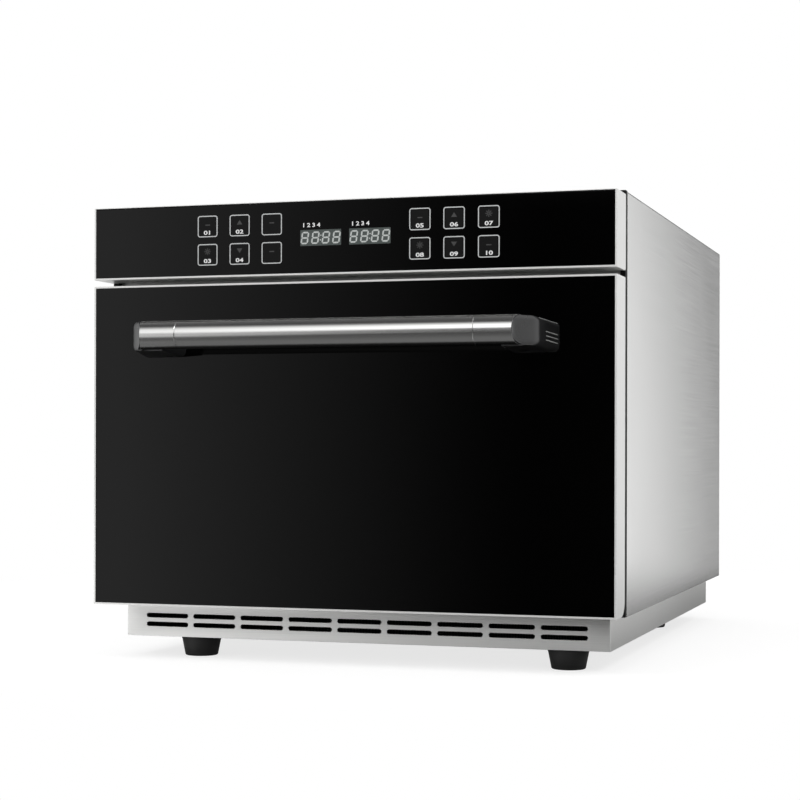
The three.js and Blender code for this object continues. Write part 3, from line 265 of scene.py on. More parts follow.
class Graph:
    """A short way to write the nodes of a material or of the world."""

    def __init__(self, tree):
        self.tree = tree

    def feed(self, socket, value):
        """Sets a socket to a number or a colour, or links a signal to it."""
        if isinstance(value, Signal):
            self.tree.links.new(value.socket, socket)
        else:
            socket.default_value = value

    def node(self, kind, values=(), **settings):
        made = self.tree.nodes.new("ShaderNode" + kind)
        for name, value in settings.items():
            setattr(made, name, value)
        for key, value in dict(values).items():
            self.feed(made.inputs[key], value)
        return made

    def output(self, kind, values=(), key=0, **settings):
        """One output of a new node."""
        return Signal(self, self.node(kind, values, **settings).outputs[key])

    def parts(self, vector):
        return [Signal(self, socket) for socket in self.node("SeparateXYZ", {0: vector}).outputs]

    def math(self, operation, *values):
        return self.output("Math", enumerate(values), operation=operation)

    def most(self, first, *others):
        for other in others:
            first = self.math("MAXIMUM", first, other)
        return first

    def ramp(self, value, low, high, start=0.0, end=1.0, kind="SMOOTHSTEP"):
        values = {"Value": value, "From Min": low, "From Max": high, "To Min": start, "To Max": end}
        return self.output("MapRange", values, interpolation_type=kind, clamp=True)

    def stretched(self, scale=(1, 1, 1)):
        """Object coordinates, scaled by axis, for grain that runs one way."""
        place = self.output("TexCoord", key="Object")
        return self.output("Mapping", {"Vector": place, "Scale": scale})

    def noise(self, scale, detail=3.0, rough=0.5, stretch=(1, 1, 1)):
        values = {"Vector": self.stretched(stretch), "Scale": scale, "Detail": detail, "Roughness": rough}
        return self.output("TexNoise", values, "Fac")

    def blend(self, factor, a, b):
        """A mix of two colours."""
        return self.output("Mix", {0: factor, 6: a, 7: b}, 2, data_type="RGBA")

    def edge(self, radius):
        """1 on rounded edges, 0 on flat faces: worn edges, and on the casting partly a painted highlight."""
        round_normal = self.output("Bevel", {"Radius": radius}, samples=4)
        normal = self.output("NewGeometry", key="Normal")
        dot = self.output("VectorMath", {0: round_normal, 1: normal}, "Value", operation="DOT_PRODUCT")
        return self.ramp(dot, 0.995, 0.86)

    def diffuse(self, color):
        return self.output("BsdfDiffuse", {"Color": color})

    def emission(self, strength):
        return self.output("Emission", {"Color": grey(1), "Strength": strength})

    def mix(self, factor, a, b):
        """A mix of two shaders."""
        return self.output("MixShader", {0: factor, 1: a, 2: b})

    def ray(self, kind):
        return self.output("LightPath", key=f"Is {kind} Ray")


def grey(value):
    return (value, value, value, 1)


class Finish(Graph):
    """A Principled material. What is the same all over stays on the shader's own sockets."""

    def __init__(self, name, slot, fixed, base=None):
        self.material = bpy.data.materials.new(name)
        self.material.use_nodes = True
        super().__init__(self.material.node_tree)
        self.shader = self.tree.nodes["Principled BSDF"]
        for key, value in fixed.items():
            self.shader.inputs[key].default_value = value
        self.base = base or BASE[slot]

    def tint(self, gain):
        """The base colour, paler or darker."""
        return tuple(min(1.0, c * gain) for c in self.base[:3]) + (1.0,)

    def tones(self, value, low, high, start=0.3, stop=0.7):
        """The base colour between two gains."""
        return self.blend(self.ramp(value, start, stop), self.tint(low), self.tint(high))

    def done(self, tone, rough, height, strength, distance):
        """Colour, roughness and a bump from signals."""
        normal = self.output("Bump", {"Height": height, "Strength": strength, "Distance": distance})
        for key, value in (("Base Color", tone), ("Roughness", rough), ("Normal", normal)):
            self.feed(self.shader.inputs[key], value)
        return self.material


# Procedural finishes
GRAIN = {"x": (4, 900, 900), "y": (900, 4, 900)}
TURNED = 0.7


def facing(g, axis):
    """1 on faces that look along an axis (0, 1 or 2), either way."""
    normal = g.parts(g.output("NewGeometry", key="Normal"))[axis]
    return g.math("GREATER_THAN", g.math("ABSOLUTE", normal), TURNED)


def brushed(name, slot, axis, roughness, gain=1.0, spread=0.9, metal=1.0, side_shift=0.0):
    """Brushed sheet: fine lines along one axis, faint blotches and brighter edges.

    Its shine spreads up a wall and sideways on a roof. side_shift is added to the roughness of
    faces that look along x.
    """
    g = Finish(name, slot, {"Metallic": metal, "Anisotropic": spread})
    flat = facing(g, 2)
    g.feed(g.shader.inputs["Tangent"], g.output("CombineXYZ", {0: flat, 2: 1.0 - flat}))
    lines = g.noise(1.0, 4.0, 0.6, GRAIN[axis])
    cloud = g.noise(9.0)
    edge = g.edge(0.0012)
    # gain pales the steel's whole tone; the rims and the plinth use it as painted light.
    tone = g.tones(lines, 0.95 * gain, 1.04 * gain, 0.25, 0.75)
    tone = g.blend(g.ramp(cloud, 0.3, 0.7, 0.0, 0.35), tone, g.tint(0.97 * gain))
    tone = g.blend(edge, tone, g.tint(1.25 * gain))
    rough = lines * 0.14 + cloud * 0.06 - edge * 0.08 + (roughness - 0.1)
    if side_shift:
        rough = rough + facing(g, 0) * side_shift
    return g.done(tone, rough, lines, 0.18, 0.00006)


def gloss_black(name, slot):
    """Black printed glass: deep black, a hard shine and the faintest waviness."""
    g = Finish(name, slot, {"IOR": 1.5, "Specular IOR Level": 0.28})
    smear = g.noise(1.0, 4.0, stretch=(14, 14, 6))
    tone = g.blend(g.ramp(g.noise(900.0, 1.0), 0.74, 0.8), grey(0.0004), grey(0.003))
    return g.done(tone, g.ramp(smear, 0.35, 0.75) * 0.03 + 0.03, g.noise(2.5, 1.0), 0.02, 0.0002)


def moulded(name, slot, roughness, gain=1.0, specular=0.5, worn=1.6):
    """Rubber or moulded plastic: fine grain, slight clouding and paler edges."""
    g = Finish(name, slot, {"Specular IOR Level": specular})
    cloud = g.noise(24.0)
    tone = g.tones(cloud, 0.85 * gain, 1.12 * gain)
    tone = g.blend(g.edge(0.0008) * 0.5, tone, g.tint(worn * gain))
    return g.done(tone, cloud * 0.12 + (roughness - 0.06), g.noise(1400.0, 2.0), 0.35, 0.00004)


def sheet_metal(name, slot, roughness, spangle=0.0):
    """Plain or zinc-coated sheet: soft spangle, clouded shine and brighter edges."""
    g = Finish(name, slot, {"Metallic": 1.0})
    cells = g.output("TexVoronoi", {"Vector": g.stretched(), "Scale": 140.0}, "Color")
    cell = g.output("SeparateColor", {0: cells})
    cloud = g.noise(16.0, 4.0)
    tone = g.tones(cell, 0.96 - 0.25 * spangle, 1.05, 0, 1)
    tone = g.blend(g.ramp(cloud, 0.3, 0.7, 0.0, 0.4), tone, g.tint(0.9))
    tone = g.blend(g.edge(0.0008), tone, g.tint(1.25))
    rough = cell * (0.12 * spangle) + cloud * 0.1 + (roughness - 0.05)
    return g.done(tone, rough, g.noise(700.0, 2.0), 0.15, 0.00003)


def print_ink(name, slot, color, roughness=0.3, specular=0.3):
    """Printed ink with a slightly uneven coat."""
    g = Finish(name, slot, {"Specular IOR Level": specular}, color)
    patch = g.noise(260.0)
    return g.done(g.tones(patch, 0.93, 1.05), patch * 0.1 + (roughness - 0.05), patch, 0.05, 0.00002)


def glow(name, slot, color, strength):
    """A lit display segment."""
    fixed = {"Emission Strength": strength, "Roughness": 0.3, "Specular IOR Level": 0.25}
    g = Finish(name, slot, fixed, color)
    tone = g.tones(g.noise(500.0, 2.0), 0.9, 1.05)
    for key in ("Base Color", "Emission Color"):
        g.feed(g.shader.inputs[key], tone)
    return g.material


def wool(name, slot):
    """Matted white fibre."""
    g = Finish(name, slot, {"Sheen Weight": 0.3})
    fibre = g.noise(420.0, 6.0, 0.7)
    return g.done(g.tones(fibre, 0.8, 1.08), g.noise(30.0) * 0.1 + 0.85, fibre, 0.8, 0.0006)


def glazed(name, slot):
    """Ceramic plate: warm white, tiny pits and a few tan stains."""
    g = Finish(name, slot, {"Specular IOR Level": 0.5})
    stain = g.noise(14.0, 5.0)
    tone = g.blend(g.ramp(stain, 0.55, 0.8, 0.0, 0.3), g.tint(1.0), (0.45, 0.33, 0.2, 1))
    return g.done(tone, stain * 0.2 + 0.35, g.noise(600.0), 0.25, 0.0001)


def board(name, slot):
    """Circuit board lacquer with faint tracks."""
    g = Finish(name, slot, {"Specular IOR Level": 0.5})
    bricks = g.output("TexBrick", {"Vector": g.stretched(), "Scale": 160.0}, "Fac")
    tone = g.blend(bricks, g.tint(0.9), g.tint(1.5))
    return g.done(tone, g.ramp(g.noise(90.0), 0.3, 0.7, 0.35, 0.5), bricks, 0.2, 0.00005)


def sheath(name, slot):
    """Heater sheath: scaled, darker and bluer in patches."""
    g = Finish(name, slot, {"Metallic": 0.8})
    scale = g.noise(260.0, 5.0, 0.7)
    tone = g.tones(scale, 0.7, 1.2)
    tone = g.blend(g.ramp(g.noise(22.0, 2.0), 0.45, 0.75, 0.0, 0.5), tone, (0.12, 0.1, 0.12, 1))
    return g.done(tone, g.ramp(scale, 0.3, 0.7, 0.45, 0.65), scale, 0.4, 0.0001)


def casting(name, slot):
    """Dark coated casting: a smooth satin skin over slight unevenness, and paler edges that are partly worn
    coating and partly a painted highlight.
    """
    g = Finish(name, slot, {"Specular IOR Level": 1.0})
    slow = g.noise(60.0)
    tone = g.tones(slow, 0.2, 0.3)
    # Edges 2.2 times paler: partly worn coating, partly a painted highlight.
    tone = g.blend(g.edge(0.0012) * 0.6, tone, g.tint(2.2))
    return g.done(tone, slow * 0.1 + 0.24, g.noise(1100.0), 0.2, 0.00002)


STEEL_X = brushed("steel_grain_x", "brushed_steel", "x", 0.5, spread=0.0)
STEEL_Y = brushed("steel_grain_y", "brushed_steel", "y", 0.2)
# The rims' steel is a paler, partly non-metallic copy of the body steel: a painted highlight on the door and
# head rims.
RIM_STEEL_PAINTED_BRIGHT = brushed("rim_steel_painted_highlight", "brushed_steel", "x", 0.34, 1.08, spread=0.3, metal=0.4)
# The plinth's steel is painted 1.27 times paler than the rest of the steel: painted light on the plinth.
PLINTH_STEEL_PAINTED_LIGHT = brushed("plinth_steel_painted_light", "brushed_steel", "x", 0.5, 1.27, spread=0.0, side_shift=-0.13)
BRIGHT = brushed("bright_steel_grain_x", "bright_steel", "x", 0.22, spread=0.0)
CAVITY = brushed("cavity_steel_grain_x", "cavity_steel", "x", 0.28, spread=0.5)
ZINC = sheet_metal("zinc_sheet", "zinc_sheet", 0.4, 1.0)
SCREW = sheet_metal("screw_steel", "bright_steel", 0.28)
CORE = sheet_metal("motor_core", "dark_metal", 0.45)
GLASS = gloss_black("black_glass", "black_glass")
RUBBER = moulded("black_rubber", "black_rubber", 0.55, gain=0.6, specular=0.3)
SEAL = moulded("seal_rubber", "black_rubber", 0.65, gain=0.2, specular=0.15)
PLASTIC = moulded("black_plastic", "black_plastic", 0.45)
FILTER = moulded("filter_fibre", "black_plastic", 0.8, gain=0.03, specular=0.0)
GREY = moulded("grey_plastic", "grey_plastic", 0.45, worn=1.1)
CAST = casting("dark_casting", "dark_casting")
# Pale grey for the bracket's ribs and its top-edge rod: a painted highlight, not the casting's own colour.
PAINTED_HIGHLIGHT_RIB = moulded("rib_painted_highlight", "grey_plastic", 0.35, gain=0.5)
WOOL = wool("white_wool", "white_wool")
CERAMIC = glazed("ceramic", "ceramic_deck")
SHEATH = sheath("heater_sheath", "heater_sheath")
BOARD = board("green_board", "green_board")
KEY_LINE = print_ink("key_line", "grey_plastic", (0.5, 0.51, 0.51))
KEY_FACE = print_ink("key_face", "black_glass", grey(0.004), 0.3, 0.15)
KEY_MARK = print_ink("key_mark", "grey_plastic", grey(0.06), 0.3, 0.15)
KEY_NUMBER = print_ink("key_number", "grey_plastic", grey(0.75))
DISPLAY = print_ink("display_face", "display_face", (0.066, 0.078, 0.074), 0.25)
SEGMENT = glow("display_segment", "display_face", (0.42, 0.44, 0.43), 0.16)


# Screws: domed heads with a cross recess. The profile is (share of the radius, share of the height),
# and None stands for the cross.
HEAD_PROFILE = ((1.0, 0.0), (1.0, 0.3), (0.9, 0.62), (0.72, 0.86), (0.6, 1.0), (None, 1.0), (None, 0.35))
CROSS_LENGTH = 0.55
CROSS_WIDTH = 0.13


def cross(radius):
    def at(angle):
        folded = (angle + math.pi / 4) % (math.pi / 2) - math.pi / 4
        flank = CROSS_WIDTH * radius / max(abs(math.sin(folded)), 1e-6)
        return min(CROSS_LENGTH * radius / math.cos(folded), flank)

    return at


def screws(name, places, axis, way, body="chassis", radius=3.2 * MM, height=1.9 * MM):
    """Heads whose undersides are at the places and which stand out along way (1 or -1)."""
    order = {"y": (0, 2, 1), "z": (0, 1, 2)}[axis]
    bm = bmesh.new()
    for place in places:
        u, v, w = (place[k] for k in order)
        rings = []
        for share, up in HEAD_PROFILE:
            size = share * radius if share else cross(radius)
            rings.append(turned_ring(bm, axis, (u, v), w + way * up * height, size, 32))
        skin(bm, rings)
    piece(name, bm, SCREW, body=body)


# Body wrapper, folded from one sheet with round upper edges
SHEET = 1.5 * MM
SKIN = 1.2 * MM
FOLD = 3 * MM


def make_wrapper():
    low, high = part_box("body_wrapper")

    def outline(inset):
        """The wrapper (x, z) from foot to foot, moved inward."""
        left = arc(low.x + FOLD, high.z - FOLD, FOLD - inset, 90, 180, 8)
        right = arc(high.x - FOLD, high.z - FOLD, FOLD - inset, 0, 90, 8)
        return [(low.x + inset, low.z)] + left[::-1] + right[::-1] + [(high.x - inset, low.z)]

    bm = prism(bmesh.new(), outline(0) + outline(SKIN)[::-1], "y", low.y, high.y)
    dress(soften(as_object("wrapper_skin", bm), 0.3 * MM), STEEL_Y, "body_wrapper")


# Plinth with its vent slots
SLOT_LENGTH = 53.5 * MM
SLOT_HEIGHT = 5.3 * MM
SLOT_PITCH = 60.2 * MM
SLOT_ROW_PITCH = 10.4 * MM
SLOT_COLUMNS = 9
SLOT_DROP = 13.5 * MM
PLINTH_CORNER = 2 * MM
FEET = [f"foot_{end}_{side}" for end in ("front", "rear") for side in ("left", "right")]
FOOT_SCREW_LIFT = 11.6 * MM


def slots(bm, columns, places_z, middle, y0, y1, pitch=SLOT_PITCH, length=SLOT_LENGTH):
    """Rows of vent slots at heights, each row about a middle x."""
    for z in places_z:
        for column in range(columns):
            x = middle + (column - (columns - 1) / 2) * pitch
            prism(bm, slot_outline(x, z, length, SLOT_HEIGHT), "y", y0, y1)


def make_plinth():
    low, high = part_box("plinth_tray")
    corners = (low.x, low.y), (high.x, high.y)
    outline = inset_loop(*corners, 0, PLINTH_CORNER, 5)
    obj = as_object("plinth_skin", prism(bmesh.new(), outline, "z", low.z, high.z))
    outline = inset_loop(*corners, SHEET, PLINTH_CORNER - SHEET, 5)
    boolean(obj, prism(bmesh.new(), outline, "z", low.z + SHEET, high.z + SHEET))
    bm = bmesh.new()
    rows = [high.z - SLOT_DROP - row * SLOT_ROW_PITCH for row in range(2)]
    slots(bm, SLOT_COLUMNS, rows, 0, low.y - SHEET, low.y + 2 * SHEET)
    boolean(obj, bm)
    dress(soften(obj, 0.3 * MM), PLINTH_STEEL_PAINTED_LIGHT, "plinth_tray")
    places = []
    for name in FEET:
        foot_low, foot_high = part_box(name)
        middle = (foot_low + foot_high) / 2
        places.append((middle.x, middle.y, foot_low.z + FOOT_SCREW_LIFT))
    screws("foot_screws", places, "z", -1, radius=5.5 * MM, height=3 * MM)


# Tapered rubber feet with a rim, a rounded lower edge and a recess for the screw
FOOT_TAPER = 4.5 * MM
FOOT_RIM = 2.2 * MM
FOOT_GROOVE = 0.45 * MM
FOOT_LIP = 2.2 * MM
FOOT_RECESS = 8 * MM
FOOT_CEILING = 12 * MM


def make_foot(name):
    low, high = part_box(name)
    centre = ((low.x + high.x) / 2, (low.y + high.y) / 2)
    top = (high.x - low.x) / 2
    height = high.z - low.z
    ceiling = low.z + FOOT_CEILING
    rim = high.z - FOOT_RIM

    def wall(z):
        return top - FOOT_TAPER + FOOT_TAPER * z / height

    profile = [(ceiling, 0), (ceiling, FOOT_RECESS - 1 * MM), (ceiling - 1 * MM, FOOT_RECESS)]
    profile += [(low.z + 1 * MM, FOOT_RECESS), (low.z, FOOT_RECESS + 1 * MM)]
    for angle in range(0, 91, 15):
        a = math.radians(angle)
        edge = wall(FOOT_LIP) - FOOT_LIP * (1 - math.sin(a))
        profile.append((low.z + FOOT_LIP * (1 - math.cos(a)), edge))
    profile.append((rim - FOOT_GROOVE, wall(height - FOOT_RIM - FOOT_GROOVE)))
    profile += [(rim, wall(height - FOOT_RIM) - FOOT_GROOVE), (rim, top - 0.1 * MM)]
    profile += [(high.z - 0.3 * MM, top), (high.z, top - 0.3 * MM), (high.z, 0)]
    bm = lathe(bmesh.new(), "z", centre, profile, 64)
    piece(name + "_rubber", bm, RUBBER, name, sharp=50)


# Edge frames of the door and of the control head
RIM = 2 * MM
GLASS_BED = 4.3 * MM
LEDGE = 10 * MM
EDGE = 0.85 * MM
HEAD_TOP_RIM = 0.8 * MM
GAP = 0.05 * MM


def edge_frame(name, low, high, radius_low, radius_high, top_rim=RIM):
    """A frame with a bed for the glass in front, a ledge behind it and rounded rear corners."""
    outline = [(low.y, low.z)] + arc(high.y - radius_low, low.z + radius_low, radius_low, -90, 0, 10)
    outline += arc(high.y - radius_high, high.z - radius_high, radius_high, 0, 90, 10) + [(low.y, high.z)]
    obj = as_object(name, prism(bmesh.new(), outline, "x", low.x, high.x))
    front, back = low.y - SHEET, high.y + SHEET
    bed = low.y + GLASS_BED
    ledge = RIM + LEDGE
    bm = bmesh.new()
    block(bm, (low.x + RIM, front, low.z + RIM), (high.x - RIM, bed, high.z - top_rim))
    block(bm, (low.x + ledge, front, low.z + ledge), (high.x - ledge, back, high.z - ledge))
    block(bm, (low.x + RIM, bed + SHEET, low.z + RIM), (high.x - RIM, back, high.z - RIM))
    return boolean(obj, bm)


ARM_CHANNEL = 18 * MM
ARM_GAP = 4 * MM
CHEEK = 2 * MM
CHEEK_REACH = 22 * MM
HINGE_INSET = 18 * MM
HINGE_BORE = 4.3 * MM
ARM_BOSS = 9 * MM


def make_door_frame():
    low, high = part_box("door_shell")
    obj = edge_frame("door_frame", low, high, 18 * MM, 1.5 * MM)
    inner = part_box("hinge_arm_right")[0].x + ARM_CHANNEL - ARM_GAP
    cuts, cheeks, bores = bmesh.new(), bmesh.new(), bmesh.new()
    hinge = (low.y + HINGE_INSET, low.z + HINGE_INSET)
    start = hinge[0] - ARM_BOSS - 1 * MM
    ledge_back = low.y + GLASS_BED + SHEET - 0.5 * MM
    outline = (ledge_back, low.z + RIM - 0.5 * MM, hinge[0] + CHEEK_REACH, hinge[1] + CHEEK_REACH)
    for side in (-1, 1):
        near, far = span(side, inner, high.x - RIM)
        block(cuts, (near, start, low.z - SHEET), (far, high.y + SHEET, low.z + RIM + 0.4 * MM))
        near, far = span(side, inner - CHEEK, inner)
        prism(cheeks, rounded(*outline, 3 * MM, 5), "x", near, far)
        prism(bores, circle(*hinge, HINGE_BORE, 48), "x", near - SHEET, far + SHEET)
    boolean(obj, cuts)
    boolean(obj, cheeks, "UNION")
    boolean(obj, bores)
    dress(soften(obj, EDGE), RIM_STEEL_PAINTED_BRIGHT, "door_shell", body="door")


def make_head_frame():
    low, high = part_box("control_housing")
    obj = edge_frame("head_frame", low, high, 4 * MM, 1.5 * MM, HEAD_TOP_RIM)
    dress(soften(obj, 0.3 * MM), RIM_STEEL_PAINTED_BRIGHT, "control_housing")
    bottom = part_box("control_glass")[1].z + GAP
    back, top = low.y + GLASS_BED - GAP, high.z - HEAD_TOP_RIM - GAP
    reach = RIM + GAP
    bm = block(bmesh.new(), (low.x + reach, low.y + 0.2 * MM, bottom), (high.x - reach, back, top))
    dress(soften(as_object("head_top_strip", bm), 0.2 * MM), SEAL)


# Touch keys, printed on the glass. Heights are over the door's lower edge.
KEY_SIZE = 24.6 * MM
KEY_LINE_WIDTH = 1.15 * MM
KEY_RADIUS = 3 * MM
KEY_FILL_INSET = 2.1 * MM
KEY_FILL_RADIUS = 0.9 * MM
KEY_COLUMNS = (88 * MM, 127.4 * MM, 167 * MM)
KEY_SHIFT = 0.7 * MM
KEY_ROWS = (437.5 * MM, 405 * MM)
STAR_KEYS = ((1, 0, 2), (1, 1, 0), (-1, 1, 0))
INK = 0.05 * MM
MARK_LIFT = 3.6 * MM
STAR_SIZE = 8 * MM
STAR_RAYS = 4
STAR_HALF = 0.45 * MM
TRIANGLE_HALF = 3.4 * MM
TRIANGLE_TIP = 2.6 * MM
NUMBER_LIFT = 4.9 * MM
NUMBER_HEIGHT = 4.6 * MM
FONT_SIZE_TO_HEIGHT = 1.38
NUMBER_WEIGHT = 0.16 * MM
NUMBER_STRETCH = 1.5


def digits(words, face, stretch):
    """Plain numbers as flat meshes that stand on the plane y = face. words are (text, x, z)."""
    bm = bmesh.new()
    for text, x, z in words:
        curve = bpy.data.curves.new("digits", "FONT")
        curve.body = text
        curve.size = NUMBER_HEIGHT * FONT_SIZE_TO_HEIGHT
        curve.align_x = "CENTER"
        curve.align_y = "CENTER"
        curve.extrude = INK / 2
        curve.offset = NUMBER_WEIGHT
        curve.resolution_u = 3
        holder = bpy.data.objects.new("digits", curve)
        scene.collection.objects.link(holder)
        depsgraph = bpy.context.evaluated_depsgraph_get()
        mesh = bpy.data.meshes.new_from_object(holder.evaluated_get(depsgraph))
        mesh.transform(Matrix.Scale(stretch, 4, (1, 0, 0)))
        mesh.transform(Matrix.Translation((x, face - INK / 2, z)) @ Matrix.Rotation(math.radians(90), 4, "X"))
        bm.from_mesh(mesh)
        bpy.data.meshes.remove(mesh)
        bpy.data.objects.remove(holder)
        bpy.data.curves.remove(curve)
    bmesh.ops.remove_doubles(bm, verts=bm.verts, dist=1e-7)
    return bm


def star(bm, x, z, face):
    for i in range(STAR_RAYS):
        angle = math.pi * i / STAR_RAYS
        along = Vector((math.cos(angle), math.sin(angle))) * STAR_SIZE / 2
        across = Vector((-math.sin(angle), math.cos(angle))) * STAR_HALF
        corners = (-along - across, along - across, along + across, -along + across)
        prism(bm, [(x + c.x, z + c.y) for c in corners], "y", face - INK, face)


def key_mark(bm, key, x, z, face):
    """A star, a bar or a triangle, by the key's (side, row, column)."""
    if key in STAR_KEYS:
        star(bm, x, z, face - INK / 2)
    elif key[2] % 2 == 0:
        prism(bm, slot_outline(x, z - 2 * MM, 6 * MM, 1.2 * MM), "y", face - INK, face)
    else:
        tip = -TRIANGLE_TIP if key[1] else TRIANGLE_TIP
        triangle = [(x - TRIANGLE_HALF, z - tip), (x + TRIANGLE_HALF, z - tip), (x, z + tip)]
        prism(bm, triangle, "y", face - INK, face)


def make_keys():
    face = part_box("control_glass")[0].y
    lines, fills, marks = bmesh.new(), bmesh.new(), bmesh.new()
    numbers = []
    half = KEY_SIZE / 2
    for side in (-1, 1):
        for row, height in enumerate(KEY_ROWS):
            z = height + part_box("door_shell")[0].z
            for column, offset in enumerate(KEY_COLUMNS if side > 0 else KEY_COLUMNS[::-1]):
                x = side * offset + KEY_SHIFT
                corners = (x - half, z - half), (x + half, z + half)
                outer = inset_loop(*corners, 0, KEY_RADIUS, 6)
                inner = inset_loop(*corners, KEY_LINE_WIDTH, KEY_RADIUS - KEY_LINE_WIDTH, 6)
                frame_loops = [(outer, face - 2 * INK), (outer, face), (inner, face), (inner, face - 2 * INK)]
                loft(lines, frame_loops, "y", closed=True)
                fill = inset_loop(*corners, KEY_FILL_INSET, KEY_FILL_RADIUS, 4)
                prism(fills, fill, "y", face - INK / 2, face)
                key_mark(marks, (side, row, column), x, z + MARK_LIFT, face)
                if side > 0 or column < 2:
                    numbers.append((f"{len(numbers) + 1:02d}", x, z - half + NUMBER_LIFT))
    piece("key_outlines", lines, KEY_LINE)
    piece("key_faces", fills, KEY_FACE)
    piece("key_marks", marks, KEY_MARK)
    piece("key_numbers", digits(numbers, face - INK / 2, NUMBER_STRETCH), KEY_NUMBER)


# Displays: a window with four slanted digits and two dots, under a scale of plain numbers
DIGIT_WIDTH = 9 * MM
DIGIT_HEIGHT = 14 * MM
DIGIT_STROKE = 1.75 * MM
DIGIT_SLANT = math.radians(8)
DIGIT_PITCH = 12.6 * MM
DIGIT_GAP = 0.25 * MM
DISPLAY_SHIFT = 1 * MM
DOT_LIFT = 2.6 * MM
SCALE_LIFT = 5.2 * MM
SCALE_PITCH = 6 * MM
SCALE_STRETCH = 1.25


def segment(bm, centre, start, end, y0, y1):
    """One bar of a digit, with pointed ends, between two points of the upright digit."""
    along = (Vector(end) - Vector(start)).normalized()
    h = DIGIT_STROKE / 2
    across = Vector((-along.y, along.x)) * h
    a = Vector(start) + along * DIGIT_GAP
    b = Vector(end) - along * DIGIT_GAP
    points = [a, a + along * h - across, b - along * h - across, b, b - along * h + across]
    points.append(a + along * h + across)
    slanted = [(centre[0] + p.x + p.y * math.tan(DIGIT_SLANT), centre[1] + p.y) for p in points]
    prism(bm, slanted, "y", y0, y1)


def make_display(name):
    low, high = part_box(name)
    low.x += DISPLAY_SHIFT
    high.x += DISPLAY_SHIFT
    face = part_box("control_glass")[0].y
    outline = rounded(low.x, low.z, high.x, high.z, 0.6 * MM, 4)
    piece(name + "_window", prism(bmesh.new(), outline, "y", face - INK, face), DISPLAY)
    middle = (low + high) / 2
    bm = bmesh.new()
    y0, y1 = face - 2 * INK, face - INK
    w = (DIGIT_WIDTH - DIGIT_STROKE) / 2
    h = (DIGIT_HEIGHT - DIGIT_STROKE) / 2
    bars = [((-w, v), (w, v)) for v in (h, 0, -h)]
    bars += [((-w, 0), (-w, h)), ((w, 0), (w, h)), ((-w, -h), (-w, 0)), ((w, -h), (w, 0))]
    for i in range(4):
        centre = (middle.x + (i - 1.5) * DIGIT_PITCH, middle.z)
        for start, end in bars:
            segment(bm, centre, start, end, y0, y1)
    for v in (-DOT_LIFT, DOT_LIFT):
        u = middle.x + v * math.tan(DIGIT_SLANT)
        prism(bm, circle(u, middle.z + v, 0.8 * MM), "y", y0, y1)
    piece(name + "_digits", bm, SEGMENT)
    words = [(str(i + 1), low.x + 4 * MM + i * SCALE_PITCH, high.z + SCALE_LIFT) for i in range(4)]
    piece(name + "_scale", digits(words, face, SCALE_STRETCH), KEY_NUMBER)


# Handle: bar, sleeves with slanted ends, and cast brackets. Slopes are x over y.
BAR_WALL = 1.5 * MM
BAR_CHAMFER = 0.4 * MM
BAR_SIDES = 96
SLEEVE_GAP = 0.3 * MM
SLEEVE_SLOPE = 0.3
SLEEVE_START = 1.2 * MM
SLEEVE_REACH = 45 * MM
SPIGOT = 15 * MM
FACE_SLOPE = 20 / 26
FACE_START = 2.2 * MM
FACE_DEPTH = 30 * MM
STEM_INSET = 8 * MM
STEM_WIDTH = 18 * MM
DROOP = 0.085
CORNER = 5 * MM
FLANK_PULL = (5 * MM, 22 * MM)
FLANK_END = 32.2 * MM
BASE_SPREAD = 4 * MM
BASE_EDGE = 6 * MM
BASE_TAPER = 40 * MM
SEAT = 0.3 * MM
BRACKET_SLICES = 28
ROUND_LOW = 7 * MM
ROUND_HIGH = 5 * MM
RIB_PITCH = 4.6 * MM
RIB_DROP = 3.4 * MM


def make_bar():
    low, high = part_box("handle_bar")
    radius = (high.z - low.z) / 2
    centre = ((low.y + high.y) / 2, (low.z + high.z) / 2)
    inner = radius - BAR_WALL
    profile = [(low.x, inner), (low.x, radius - BAR_CHAMFER), (low.x + BAR_CHAMFER, radius)]
    profile += [(high.x - BAR_CHAMFER, radius), (high.x, radius - BAR_CHAMFER), (high.x, inner)]
    bm = lathe(bmesh.new(), "x", centre, profile, BAR_SIDES)
    piece("bar_tube", bm, BRIGHT, "handle_bar", body="door")


